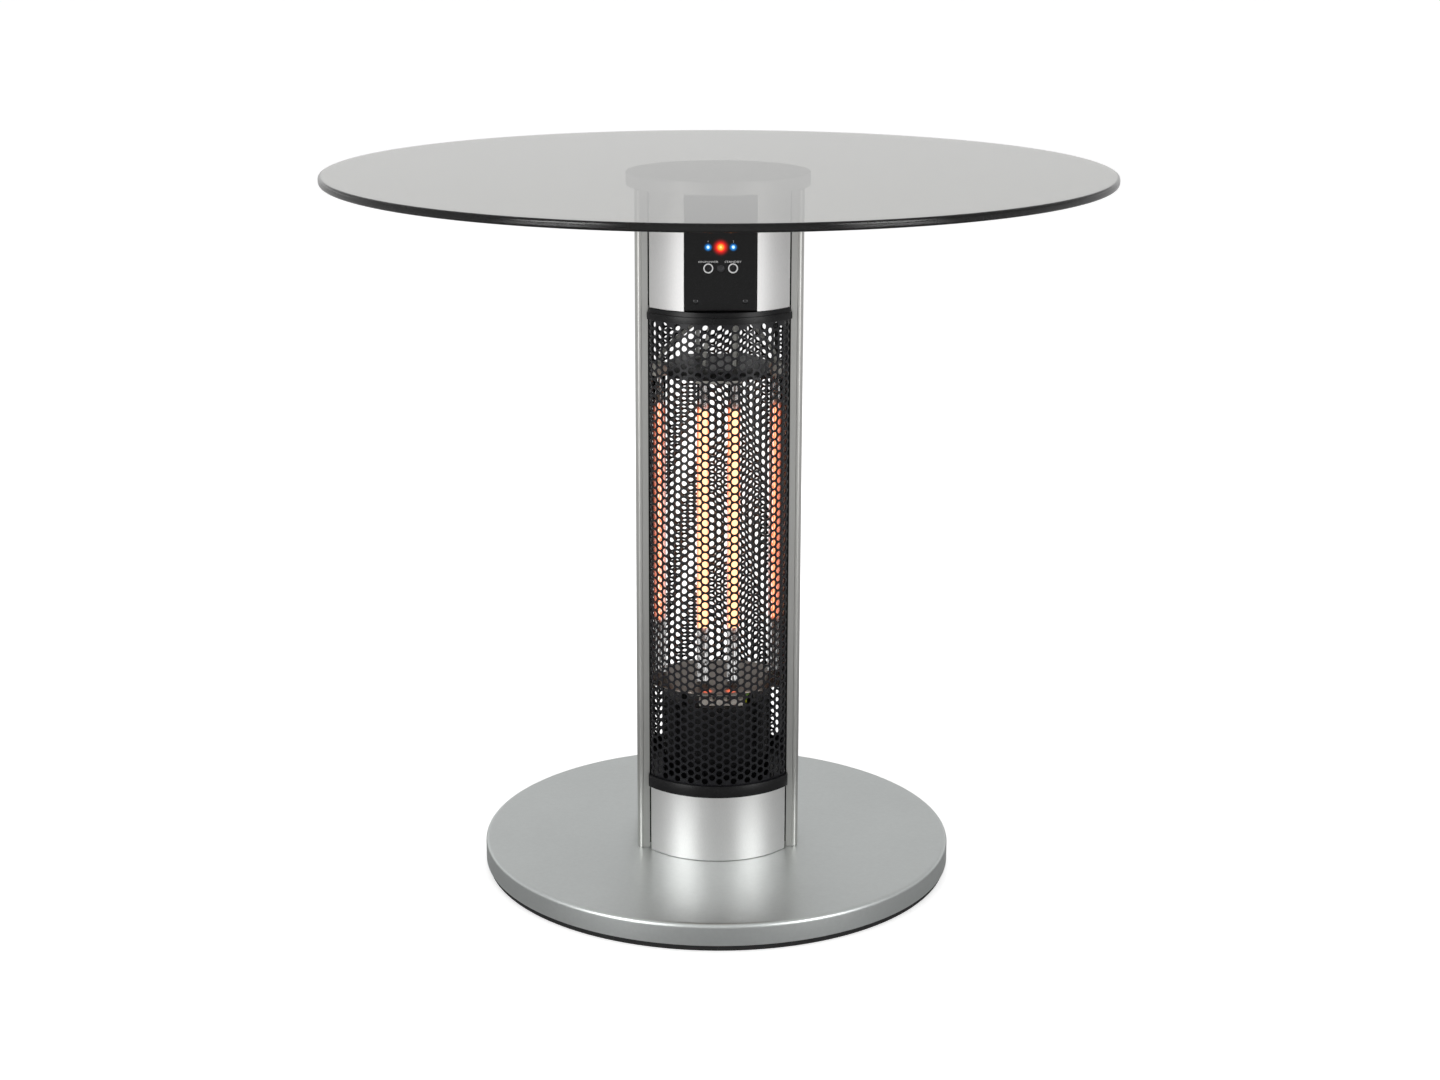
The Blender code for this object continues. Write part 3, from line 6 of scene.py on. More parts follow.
import bmesh
import bpy
from bpy.props import FloatProperty, FloatVectorProperty, PointerProperty
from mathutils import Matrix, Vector


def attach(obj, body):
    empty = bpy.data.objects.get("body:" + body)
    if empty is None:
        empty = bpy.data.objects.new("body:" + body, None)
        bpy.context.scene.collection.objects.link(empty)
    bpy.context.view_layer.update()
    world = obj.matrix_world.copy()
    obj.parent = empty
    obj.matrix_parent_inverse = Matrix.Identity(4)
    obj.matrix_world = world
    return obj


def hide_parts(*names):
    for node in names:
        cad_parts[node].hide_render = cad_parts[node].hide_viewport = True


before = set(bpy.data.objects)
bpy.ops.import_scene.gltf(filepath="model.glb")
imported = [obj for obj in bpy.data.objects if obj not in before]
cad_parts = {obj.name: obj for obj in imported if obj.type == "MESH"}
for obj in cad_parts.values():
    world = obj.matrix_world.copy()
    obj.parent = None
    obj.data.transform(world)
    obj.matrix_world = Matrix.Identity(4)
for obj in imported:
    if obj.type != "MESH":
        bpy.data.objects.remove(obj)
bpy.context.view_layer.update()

bl_info = {
    "name": "Heated Patio Table",
    "version": (1, 0, 0),
    "blender": (4, 5, 0),
    "location": "View3D > Sidebar > Patio Table",
    "description": "Builds the visible pieces of a glass-topped heater table around its fixed frame",
    "category": "Object",
}

BODY = "table"
CORNERS = (("front_left", -1, -1), ("front_right", 1, -1), ("rear_left", -1, 1), ("rear_right", 1, 1))

# Plan of the column
HALF_WIDTH = 0.0702
COLLAR_RADIUS = 0.0895
HOUSING_RADIUS = 0.0885
GUARD_RADIUS = 0.0885
SLEEVE_WALL = 0.0015
GUARD_SHEET = 0.0012
CORNER_RADIUS = 0.0032
RING_WAIST = 0.0716
POST_INNER, POST_FACE = 0.0719, 0.050
SHOULDER = 0.0508
SEAT_GAP = 0.0003
SHEET_GAP = 0.0008

# Round pieces
GLASS_RADIUS, GLASS_EDGE = 0.4, 0.0030
BASE_RADIUS, BASE_EDGE, BASE_WALL = 0.2475, 0.0045, 0.0015
FOOT_OUTER, FOOT_INNER = 0.2450, 0.2225
FLANGE_RADIUS, BOLT_X, BOLT_Y = 0.0935, 0.0792, 0.0375
GLAND_HOLE, GLAND_GRIP = 0.0063, 0.0093

# Heights
FOOT_TOP, BASE_BOTTOM, BASE_TOP = 0.0063, 0.0066, 0.0290
COLLAR_BOTTOM, COLLAR_TOP = 0.0293, 0.0995
GLAND_HEIGHT = 0.0513
LOWER_RING_BOTTOM, LOWER_RING_TOP = 0.0998, 0.1123
UPPER_RING_BOTTOM, UPPER_BAND_TOP, UPPER_RING_TOP = 0.5970, 0.6038, 0.6085
REBATE_DEPTH = 0.0032
FLOOR_THICKNESS = 0.0024
CEILING = UPPER_RING_TOP - FLOOR_THICKNESS - SEAT_GAP
GUARD_BOTTOM, GUARD_TOP = 0.1094, 0.5999
HOUSING_BOTTOM, HOUSING_TOP = 0.6088, 0.7175
FLANGE_BOTTOM, FLANGE_TOP = 0.7178, 0.7317
GLASS_BOTTOM, GLASS_TOP = 0.7320, 0.7400

# Heater unit
PAIR_X, PAIR_Y = 0.0157, -0.035
SIDE_X, SIDE_Y = 0.060, -0.003
PAIR_LIMIT, SIDE_LIMIT = 0.03, 0.05
TUBES = (("front_left", -PAIR_X, PAIR_Y), ("front_right", PAIR_X, PAIR_Y),
         ("left", -SIDE_X, SIDE_Y), ("right", SIDE_X, SIDE_Y))
TUBE_RADIUS, TUBE_BORE, TUBE_BEVEL = 0.0065, 0.0055, 0.0002
TUBE_BOTTOM = 0.2020
RIBBON_BOTTOM, RIBBON_TOP = 0.268, 0.499
DRUM_RADIUS, DRUM_WALL, DRUM_BOTTOM, DRUM_TOP = 0.0567, 0.0012, 0.1025, 0.1855
REFLECTOR_BOTTOM, REFLECTOR_TOP = 0.2080, 0.2095
SHADE_TOP, SHADE_SHEET = 0.5425, 0.0015
SOCKET_RADIUS, SOCKET_HEIGHT, SOCKET_DEPTH = 0.0082, 0.0130, 0.0060
SOCKET_FLOOR, SOCKET_CUP, SOCKET_BORE = 0.1947, 0.0068, 0.0027
PAIR_DROP = 0.0018
LEAD_RADIUS = 0.0022
LEAD_EXITS = ((-0.0067, -0.035), (0.0157, -0.035), (-0.009, -0.003), (0.0247, -0.003))
STUD_X, STUD_Y = 0.02, 0.02

# Control panel
PANEL_FACE = -0.0812
PANEL_HALF = 0.0361
LAMP_HEIGHT, LAMP_SPACING = 0.6728, 0.0124
BUTTON_HEIGHT, BUTTON_SPACING = 0.6520, 0.0122
SCREW_HEIGHT, SCREW_SPACING = 0.6189, 0.0245
FITTING_END = 0.0087
SPOT_CORE = 0.0012
RECESS_FRONT, RECESS_BACK = -0.004, 0.0064
WORD_HEIGHT, WORD_THICKNESS = 0.0019, 0.00004

# Camera, fitted to the photograph
FOCAL_LENGTH, SHIFT_X, SHIFT_Y = 60.2, 0.02135, -0.04167
CAMERA_PLACE = (-0.08068, -2.43213, 1.02112)
CAMERA_DIP, CAMERA_TURN = math.radians(13.943), math.radians(-1.212)

# Studio
BESIDE_FRONT = 0.80
FLOOR_HALF = 30


def length(name, description, default, low, high):
    return FloatProperty(name=name, description=description, default=default, min=low, max=high,
                         unit="LENGTH")


def colour(name, description, default):
    return FloatVectorProperty(name=name, description=description, subtype="COLOR", size=3, min=0, max=1,
                               default=default)


def level_of(name, description, default, high, unit="NONE"):
    return FloatProperty(name=name, description=description, default=default, min=0, max=high, unit=unit)


class TableSizes(bpy.types.PropertyGroup):
    hole_pitch: length("Hole pitch", "Distance between the guard's holes in a column", 0.00865, 0.004, 0.03)
    hole_diameter: length("Hole diameter", "Diameter of each hole in the guard", 0.0068, 0.002, 0.025)
    guard_margin: length("Guard margin", "Plain strip left at the top and foot of the guard", 0.0012,
                         0.0005, 0.02)
    ribbon_width: length("Ribbon width", "Width of the glowing ribbon in each tube", 0.0100, 0.002, 0.0105)
    edge_radius: length("Edge radius", "Rounding of the black rings' edges", 0.0006, 0.0001, 0.0012)


class TableFinishes(bpy.types.PropertyGroup):
    steel_colour: colour("Base steel", "Colour of the satin steel base", (0.80, 0.83, 0.82))
    sleeve_colour: colour("Sleeves", "Colour of the satin aluminium sleeves", (0.73, 0.725, 0.72))
    post_colour: colour("Posts", "Colour of the anodised corner posts", (0.57, 0.57, 0.55))
    enamel_colour: colour("Enamel", "Colour of the black enamel", (0.006, 0.006, 0.0065))
    glass_density: level_of("Glass density", "How strongly the glass darkens light per metre", 79.0, 400)
    glow_colour: colour("Glow", "Colour of the hot ribbons", (1.0, 0.61, 0.29))
    glow_strength: level_of("Glow strength", "Brightness of the hot ribbons", 2.3, 20)


class StageSettings(bpy.types.PropertyGroup):
    key_power: level_of("Side lamps", "Power of the soft lamps at the sides and rear", 14.0, 500, "POWER")
    top_power: level_of("Top lamp", "Power of the soft lamp overhead", 18.0, 500, "POWER")
    world_strength: level_of("Fill", "Even light that reaches matt surfaces from all round", 0.55, 2)
    mirror_strength: level_of("Mirrored walls", "Brightness of the walls as metal and glass mirror them",
                              0.50, 1)
    rear_strength: level_of("Rear wall", "Brightness of the rear wall as the glass mirrors it", 0.82, 1)
    panel_strength: level_of("Mirrored panels", "Brightness of the two soft panels that metal mirrors",
                             4.4, 8)


def sizes():
    return bpy.context.scene.table_sizes


def finishes():
    return bpy.context.scene.table_finishes


def studio():
    return bpy.context.scene.table_stage


def add_object(name, data):
    item = bpy.data.objects.new(name, data)
    bpy.context.scene.collection.objects.link(item)
    return item


# Outlines and profiles


def both(value):
    return (-value, value)


def level(outline, height):
    return [Vector((x, y, height)) for x, y in outline]


def arc(centre, radius, start, stop, steps):
    """Points of an arc, ends included; an ellipse has a radius for each axis."""
    across, along = radius if isinstance(radius, tuple) else (radius, radius)
    angles = [start + (stop - start) * k / steps for k in range(steps + 1)]
    return [(centre[0] + across * math.cos(a), centre[1] + along * math.sin(a)) for a in angles]


def circle(radius, steps, centre=(0, 0)):
    return arc(centre, radius, 0, 2 * math.pi, steps)[:-1]


def rounded_profile(points, radius, steps=3):
    """Profile whose inner corners are rounded; the ends stay where they are."""
    result = [points[0]]
    for before, corner, after in zip(points, points[1:], points[2:]):
        a, c, b = Vector(before), Vector(corner), Vector(after)
        reach = min(radius, (a - c).length * 0.45, (b - c).length * 0.45)
        start, end = c + (a - c).normalized() * reach, c + (b - c).normalized() * reach
        for k in range(steps + 1):
            t = k / steps
            spot = start * (1 - t) ** 2 + c * (2 * t * (1 - t)) + end * t * t
            result.append((spot.x, spot.y))
    result.append(points[-1])
    return result


def arc_points(radius, half_width, side, steps=40):
    """Arc across the front (side -1) or the rear (side 1), out to a half width."""
    reach, middle = math.asin(half_width / radius), side * math.pi / 2
    return arc((0, 0), radius, middle - reach, middle + reach, steps)


def eared_barrel(radius, half_width, waist):
    far, near = SHOULDER + SEAT_GAP, SHOULDER - SEAT_GAP
    right = [(half_width, -far), (waist, -near), (waist, near), (half_width, far)]
    left = [(-x, -y) for x, y in right]
    return arc_points(radius, half_width, -1) + right + arc_points(radius, half_width, 1) + left


def sleeve_path(radius):
    """Reach of the front arc in radians, half its length, the corner's length and its centre's depth."""
    inner_radius, inner_half = radius - CORNER_RADIUS, HALF_WIDTH - CORNER_RADIUS
    reach = math.asin(inner_half / inner_radius)
    depth = math.sqrt(inner_radius ** 2 - inner_half ** 2)
    return reach, radius * reach, CORNER_RADIUS * (math.pi / 2 - reach), depth


def sleeve_point(along, radius, inset=0.0):
    """Point on the front half of a rounded barrel, at a distance from its middle."""
    reach, arc_length, turn, depth = sleeve_path(radius)
    run, inner_half = abs(along), HALF_WIDTH - CORNER_RADIUS
    if run <= arc_length:
        angle, centre, size = run / radius, Vector((0, 0)), radius
    elif run <= arc_length + turn:
        angle = reach + (run - arc_length) / CORNER_RADIUS
        centre, size = Vector((inner_half, -depth)), CORNER_RADIUS
    else:
        angle, centre = math.pi / 2, Vector((inner_half, -depth + run - arc_length - turn))
        size = CORNER_RADIUS
    spot = centre + Vector((math.sin(angle), -math.cos(angle))) * (size - inset)
    return math.copysign(spot.x, along) if along else spot.x, spot.y


def rounded_barrel(radius, inset=0.0, start=0.0, steps=40, corner_steps=8):
    """Outline of a sleeve, from the start distance right of the front's middle round to its left."""
    _, arc_length, turn, _ = sleeve_path(radius)
    bend = [arc_length + turn * k / corner_steps for k in range(corner_steps + 1)]

    def quarter(first):
        runs = [first + (arc_length - first) * k / steps for k in range(steps)] + bend
        return [sleeve_point(run, radius, inset) for run in runs]

    right = quarter(start) + [(x, -y) for x, y in reversed(quarter(0.0))]
    left = [(-x, y) for x, y in reversed(right)]
    return right + (left[1:] if start else left[1:-1])


# Mesh helpers


def join_loops(bm, loops, ring):
    """Faces between neighbouring loops; a loop of one vertex is a pole."""
    for first, second in zip(loops, loops[1:] + loops[:1] if ring else loops[1:]):
        steps = max(len(first), len(second))
        for k in range(steps):
            n = (k + 1) % steps
            if len(first) == 1:
                bm.faces.new((first[0], second[k], second[n]))
            elif len(second) == 1:
                bm.faces.new((first[k], first[n], second[0]))
            else:
                bm.faces.new((first[k], first[n], second[n], second[k]))


def add_loft(bm, sections, ring=False):
    loops = [[bm.verts.new(point) for point in section] for section in sections]
    join_loops(bm, loops, ring)
    if not ring:
        bm.faces.new(loops[0])
        bm.faces.new(loops[-1])


def add_turned(bm, profile, steps, origin=(0, 0, 0), axis=(0, 0, 1), ring=False):
    """Turn a profile of (radius, distance along the axis)."""
    tilt = Vector((0, 0, 1)).rotation_difference(Vector(axis)).to_matrix()
    loops = []
    for radius, along in profile:
        points = level(circle(radius, steps) if radius else [(0, 0)], along)
        loops.append([bm.verts.new(Vector(origin) + tilt @ point) for point in points])
    join_loops(bm, loops, ring)


def add_rod(bm, radius, start, end, steps=24):
    run = Vector(end) - Vector(start)
    profile = [(0, 0), (radius, 0), (radius, run.length), (0, run.length)]
    add_turned(bm, profile, steps, start, run.normalized())


def add_post(bm, radius, x, y, low, high, steps=24):
    add_rod(bm, radius, (x, y, low), (x, y, high), steps)


def add_box(bm, low, high):
    corners = [(low[0], low[1]), (high[0], low[1]), (high[0], high[1]), (low[0], high[1])]
    add_loft(bm, [level(corners, low[2]), level(corners, high[2])])


def add_tube(bm, route, radius, steps=16):
    """Round tube along a list of points, with flat ends."""
    route = [Vector(point) for point in route]
    side = Vector((1, 0, 0))
    sections = []
    for k, spot in enumerate(route):
        ahead = route[min(k + 1, len(route) - 1)] - route[max(k - 1, 0)]
        ahead.normalize()
        side = (side - ahead * side.dot(ahead)).normalized()
        other = ahead.cross(side)
        sections.append([spot + side * u + other * v for u, v in circle(radius, steps)])
    add_loft(bm, sections)


def eased_route(start, end, steps):
    """Points that rise evenly and ease sideways from one place to another."""
    start, end = Vector(start), Vector(end)
    shares = [k / steps for k in range(steps + 1)]
    eased = [Vector((t * t * (3 - 2 * t), t * t * (3 - 2 * t), t)) for t in shares]
    return [start + (end - start) * share for share in eased]


def finish_mesh(name, bm, angle=32):
    bmesh.ops.recalc_face_normals(bm, faces=bm.faces)
    mesh = bpy.data.meshes.new(name)
    bm.to_mesh(mesh)
    bm.free()
    mesh.shade_smooth()
    mesh.set_sharp_from_angle(angle=math.radians(angle))
    return mesh


def piece(name, bm, material, slot, nodes=(), body=BODY, angle=32, bevel=0.0):
    """Turn a bmesh into a dressed piece that rides on a body and stands for CAD nodes."""
    item = add_object(name, finish_mesh(name, bm, angle))
    item.data.materials.append(material)
    if bevel:
        modifier = item.modifiers.new("soft_edges", "BEVEL")
        modifier.width = bevel
        modifier.segments = 2
        modifier.limit_method = "ANGLE"
        modifier.angle_limit = math.radians(35)
        modifier.harden_normals = True
    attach(item, body)
    if nodes:
        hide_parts(*nodes)
    return item


def turned(name, profile, steps, material, slot, nodes=(), origin=(0, 0, 0), axis=(0, 0, 1), ring=False,
           **looks):
    bm = bmesh.new()
    add_turned(bm, profile, steps, origin, axis, ring)
    return piece(name, bm, material, slot, nodes, **looks)


def lofted(name, sections, material, slot, nodes=(), ring=False, **looks):
    bm = bmesh.new()
    add_loft(bm, sections, ring)
    return piece(name, bm, material, slot, nodes, **looks)


def carve(item, bm):
    """Cut the closed bodies in a bmesh out of a piece."""
    tool = add_object("cutting_tool", finish_mesh("cutting_tool", bm))
    modifier = item.modifiers.new("cut", "BOOLEAN")
    modifier.operation = "DIFFERENCE"
    modifier.solver = "EXACT"
    modifier.object = tool
    bpy.context.view_layer.update()
    graph = bpy.context.evaluated_depsgraph_get()
    result = bpy.data.meshes.new_from_object(item.evaluated_get(graph), depsgraph=graph)
    item.modifiers.remove(modifier)
    item.data = result
    result.shade_smooth()
    result.set_sharp_from_angle(angle=math.radians(32))
    bpy.data.objects.remove(tool)


def drill(item, bars, steps=24):
    """Cut round bars, each a radius and two ends, out of a piece."""
    bm = bmesh.new()
    for radius, start, end in bars:
        add_rod(bm, radius, start, end, steps)
    carve(item, bm)


def upright(radius, places, low, high):
    """Bars for a drill that stand upright at some places."""
    return [(radius, (x, y, low), (x, y, high)) for x, y in places]


# Nodes and shared effects


def feed(tree, made, inputs):
    """Link or fill the inputs of a node."""
    for key, value in inputs.items():
        if isinstance(value, bpy.types.NodeSocket):
            tree.links.new(value, made.inputs[key])
        else:
            made.inputs[key].default_value = value


def node(tree, kind, inputs=None, **settings):
    made = tree.nodes.new(kind)
    for key, value in settings.items():
        setattr(made, key, value)
    feed(tree, made, inputs or {})
    return made


def math_node(tree, operation, *values):
    return node(tree, "ShaderNodeMath", dict(enumerate(values)), operation=operation).outputs[0]


def distance(tree, value, centre):
    return math_node(tree, "ABSOLUTE", math_node(tree, "SUBTRACT", value, centre))


def scaled(tree, vector, factor):
    return node(tree, "ShaderNodeVectorMath", {0: vector, "Scale": factor}, operation="SCALE").outputs[0]


def remap(tree, value, start, stop, low=0.0, high=1.0, curve="LINEAR"):
    inputs = {"Value": value, "From Min": start, "From Max": stop, "To Min": low, "To Max": high}
    return node(tree, "ShaderNodeMapRange", inputs, interpolation_type=curve).outputs[0]


def object_place(tree):
    return node(tree, "ShaderNodeTexCoord").outputs["Object"]


def parts_of(tree, vector):
    return node(tree, "ShaderNodeSeparateXYZ", {0: vector}).outputs


def new_group(name, inputs):
    """Group that puts out a roughness, a height and a colour."""
    tree = bpy.data.node_groups.new(name, "ShaderNodeTree")
    for label, default in inputs.items():
        kind = "Float"
        if isinstance(default, tuple):
            kind = "Vector" if len(default) == 3 else "Color"
        socket = tree.interface.new_socket(label, in_out="INPUT", socket_type="NodeSocket" + kind)
        socket.default_value = default
    for label, kind in (("Roughness", "Float"), ("Height", "Float"), ("Colour", "Color")):
        tree.interface.new_socket(label, in_out="OUTPUT", socket_type="NodeSocket" + kind)
    return tree, tree.nodes.new("NodeGroupInput").outputs, tree.nodes.new("NodeGroupOutput")


@cache
def brushed_grain():
    """Fine noise drawn out along one axis, for brushed and satin metal."""
    tree, start, end = new_group("brushed_grain", {
        "Stretch": (1.0, 1.0, 1.0), "Scale": 400.0, "Low": 0.2, "High": 0.3, "Shade": 0.06,
        "Colour": (0.6, 0.6, 0.6, 1.0)})
    place = object_place(tree)
    drawn = node(tree, "ShaderNodeVectorMath", {0: place, 1: start["Stretch"]}, operation="MULTIPLY")
    fine = node(tree, "ShaderNodeTexNoise", {
        "Vector": drawn.outputs[0], "Scale": start["Scale"], "Detail": 4})
    broad = node(tree, "ShaderNodeTexNoise", {"Vector": place, "Scale": 9})
    half = math_node(tree, "MULTIPLY", fine.outputs["Fac"], 0.5)
    blend = math_node(tree, "MULTIPLY_ADD", broad.outputs["Fac"], 0.5, half)
    gain = math_node(tree, "MULTIPLY_ADD", math_node(tree, "SUBTRACT", blend, 0.5), start["Shade"], 1.0)
    feed(tree, end, {"Roughness": remap(tree, blend, 0, 1, start["Low"], start["High"]),
                     "Height": fine.outputs["Fac"], "Colour": scaled(tree, start["Colour"], gain)})
    return tree


@cache
def fine_speckle():
    """Pitted surface of enamel, moulded plastic and rubber: a height, and a colour with pale points."""
    tree, start, end = new_group("fine_speckle", {
        "Scale": 900.0, "Amount": 0.3, "Low": 0.35, "High": 0.5, "Colour": (0.02, 0.02, 0.02, 1.0),
        "Fleck": (0.08, 0.08, 0.08, 1.0)})
    place = object_place(tree)
    pits = node(tree, "ShaderNodeTexVoronoi", {"Vector": place, "Scale": start["Scale"]})
    clouds = node(tree, "ShaderNodeTexNoise", {"Vector": place, "Scale": 60, "Detail": 5})
    cell = node(tree, "ShaderNodeSeparateColor", {0: pits.outputs["Color"]}).outputs[0]
    share = math_node(tree, "MULTIPLY", math_node(tree, "GREATER_THAN", cell, 0.86), start["Amount"])
    mix = node(tree, "ShaderNodeMix", data_type="RGBA")
    feed(tree, mix, {0: share, 6: start["Colour"], 7: start["Fleck"]})
    feed(tree, end, {"Roughness": remap(tree, clouds.outputs["Fac"], 0, 1, start["Low"], start["High"]),
                     "Height": pits.outputs["Distance"], "Colour": mix.outputs[2]})
    return tree


# Materials


def new_material(name):
    material = bpy.data.materials.new(name)
    material.use_nodes = True
    return material, material.node_tree, material.node_tree.nodes["Principled BSDF"]


def dress(tree, shader, group, values, bump, depth=0.0002):
    """Lay a shared effect on a material's colour, roughness and relief."""
    made = node(tree, "ShaderNodeGroup", node_tree=group)
    feed(tree, made, values)
    relief = node(tree, "ShaderNodeBump", {
        "Strength": bump, "Distance": depth, "Height": made.outputs["Height"]})
    feed(tree, shader, {"Base Color": made.outputs["Colour"], "Roughness": made.outputs["Roughness"],
                        "Normal": relief.outputs["Normal"]})


def metal(name, colour, scale, rough, stretch=(1, 1, 1), shade=0.25, bump=0.05):
    """Satin metal with a drawn-out grain."""
    material, tree, shader = new_material(name)
    shader.inputs["Metallic"].default_value = 1
    dress(tree, shader, brushed_grain(), {
        "Stretch": stretch, "Scale": scale, "Low": rough[0], "High": rough[1], "Shade": shade,
        "Colour": (*colour, 1)}, bump)
    return material


def coat(name, colour, fleck, scale, rough, amount=0.3, bump=0.15, specular=0.5, depth=0.0002):
    """Enamel, plastic, ceramic or rubber with a fine speckle."""
    material, tree, shader = new_material(name)
    shader.inputs["Specular IOR Level"].default_value = specular
    dress(tree, shader, fine_speckle(), {
        "Scale": scale, "Amount": amount, "Low": rough[0], "High": rough[1], "Colour": (*colour, 1),
        "Fleck": (*fleck, 1)}, bump, depth)
    return material


@cache
def enamel():
    return coat("black_enamel_coat", finishes().enamel_colour, fleck=(0.03, 0.03, 0.031), scale=1400,
                rough=(0.24, 0.34), bump=0.12, specular=0.25)


@cache
def black_plastic():
    return coat("black_moulded_plastic", (0.014, 0.014, 0.015), fleck=(0.10, 0.10, 0.105), scale=1500,
                rough=(0.42, 0.55), amount=0.5, specular=0.25)


@cache
def white_plastic():
    return coat("white_ring_plastic", (0.92, 0.92, 0.92), fleck=(0.85, 0.85, 0.85), scale=900,
                rough=(0.35, 0.5), amount=0.2, bump=0.05)


@cache
def sleeve_metal():
    return metal("satin_sleeve_metal", finishes().sleeve_colour, 1100, (0.43, 0.51), stretch=(1, 1, 0.3))


@cache
def ceramic():
    return coat("fired_ceramic", (0.78, 0.76, 0.70), fleck=(0.60, 0.57, 0.50), scale=700, rough=(0.4, 0.55),
                amount=0.35)


@cache
def zinc():
    return metal("zinc_plate", (0.50, 0.50, 0.48), scale=300, rough=(0.3, 0.45), shade=0.5)


def clear_material(name, colour, ior, noise_scale, detail, haze):
    """Clear glass whose roughness varies with faint smears."""
    material, tree, shader = new_material(name)
    smears = node(tree, "ShaderNodeTexNoise", {"Scale": noise_scale, "Detail": detail})
    feed(tree, shader, {"Base Color": (colour, colour, colour, 1), "Transmission Weight": 1, "IOR": ior,
                        "Roughness": remap(tree, smears.outputs["Fac"], 0, 1, 0.0, haze)})
    return material, tree, shader


@cache
def smoked_glass():
    """Grey glass: the surface stays clear and the body of the glass darkens what is seen through it."""
    material, tree, _ = clear_material("smoked_glass", 1, ior=1.5, noise_scale=6, detail=6, haze=0.03)
    body = node(tree, "ShaderNodeVolumeAbsorption", {
        "Color": (0.10, 0.10, 0.04, 1), "Density": finishes().glass_density})
    tree.links.new(body.outputs[0], tree.nodes["Material Output"].inputs["Volume"])
    return material


@cache
def quartz():
    """Clear quartz with a painted red glow of the ribbon's light on it, narrow on the two tubes at the sides.
    """
    material, tree, shader = clear_material("clear_quartz", 0.95, ior=1.46, noise_scale=45, detail=2,
                                            haze=0.06)
    across, _, height = parts_of(tree, object_place(tree))
    middle, half = (RIBBON_BOTTOM + RIBBON_TOP) / 2, (RIBBON_TOP - RIBBON_BOTTOM) / 2
    # painted glow: red emission on the quartz along the ribbon's length, standing in for the ribbon's light
    # in the tube, strongest where the tube faces the viewer
    heated = remap(tree, distance(tree, height, middle), half + 0.003, half - 0.006, curve="SMOOTHSTEP")
    narrowing = remap(tree, math_node(tree, "ABSOLUTE", across), PAIR_LIMIT, SIDE_LIMIT, 0.9, 4.5)
    facing = node(tree, "ShaderNodeLayerWeight").outputs["Facing"]
    core = math_node(tree, "POWER", math_node(tree, "SUBTRACT", 1.0, facing), narrowing)
    share = math_node(tree, "MULTIPLY", math_node(tree, "MULTIPLY", heated, core), 0.55)
    feed(tree, shader, {"Emission Color": scaled(tree, (1.0, 0.20, 0.09), share), "Emission Strength": 1.0})
    return material


@cache
def glowing_ribbon():
    """Woven ribbon, yellow in the middle and red towards its rims and ends."""
    material, tree, shader = new_material("glowing_ribbon")
    across = parts_of(tree, node(tree, "ShaderNodeUVMap").outputs[0])[0]
    off = math_node(tree, "MULTIPLY", distance(tree, across, 0.5), 2.0)
    ramp = node(tree, "ShaderNodeValToRGB", {0: off})
    core, rim = ramp.color_ramp.elements
    core.position, core.color = 0.72, (*finishes().glow_colour, 1)
    rim.color = (0.60, 0.13, 0.04, 1)
    weave = node(tree, "ShaderNodeTexWave", {"Scale": 260, "Vector": object_place(tree)}, bands_direction="Z")
    dim = remap(tree, weave.outputs["Fac"], 0, 1, 0.75, 1.0)
    feed(tree, shader, {"Emission Color": scaled(tree, ramp.outputs[0], dim), "Roughness": 0.8,
                        "Emission Strength": finishes().glow_strength, "Base Color": (0.08, 0.03, 0.02, 1)})
    return material


def lamp_lens(name, colour, glow, strength):
    """Clear tinted lens lit from behind, brightest in the middle of its dome."""
    material, tree, shader = new_material(name)
    facing = node(tree, "ShaderNodeLayerWeight", {"Blend": 0.4})
    ramp = node(tree, "ShaderNodeValToRGB", {0: facing.outputs["Facing"]})
    for element, shade in zip(ramp.color_ramp.elements, (glow, colour)):
        element.color = (*shade, 1)
    feed(tree, shader, {"Emission Color": ramp.outputs[0], "Emission Strength": strength,
                        "Base Color": (*colour, 1), "Roughness": 0.12})
    return material


def add_shine(material, spots, strength):
    """Light that a nearby glow casts on a surface, as (place, reach, colour) spots."""
    tree = material.node_tree
    place = object_place(tree)
    total = None
    for centre, reach, colour in spots:
        away = node(tree, "ShaderNodeVectorMath", {0: place, 1: centre}, operation="DISTANCE")
        near = remap(tree, away.outputs["Value"], reach, SPOT_CORE, curve="SMOOTHERSTEP")
        tint = scaled(tree, colour, math_node(tree, "POWER", near, 2.8))
        if total is not None:
            tint = node(tree, "ShaderNodeVectorMath", {0: total, 1: tint}, operation="ADD").outputs[0]
        total = tint
    feed(tree, tree.nodes["Principled BSDF"], {"Emission Color": total, "Emission Strength": strength})


def panel_plastic():
    """Speckled black panel with the red and blue spill of its lamps on the face."""
    material = coat("panel_plastic", (0.004, 0.004, 0.0042), fleck=(0.022, 0.022, 0.024), scale=2600,
                    rough=(0.36, 0.46), amount=0.5, bump=0.12, specular=0.30, depth=0.0001)
    middle = (0.0, PANEL_FACE, LAMP_HEIGHT)
    spots = [(middle, 0.0122, (1.0, 0.015, 0.01)), (middle, 0.0058, (0.9, 0.42, 0.02))]
    spots += [((x, PANEL_FACE, LAMP_HEIGHT), 0.0060, (0.01, 0.20, 0.60)) for x in both(LAMP_SPACING)]
    add_shine(material, spots, 1.4)
    return material


# Pieces


def build_glass():
    thickness = GLASS_TOP - GLASS_BOTTOM
    outline = [(0, thickness), (GLASS_RADIUS, thickness), (GLASS_RADIUS, 0), (0, 0)]
    profile = rounded_profile(outline, GLASS_EDGE, 6)
    flat = GLASS_RADIUS - GLASS_EDGE - 0.0006
    profile = [profile[0], (flat, thickness), *profile[1:-1], (flat, 0), profile[-1]]
    turned("glass_disc", profile, 256, smoked_glass(), "glass", ("glass_top",), (0, 0, GLASS_BOTTOM),
           angle=60)


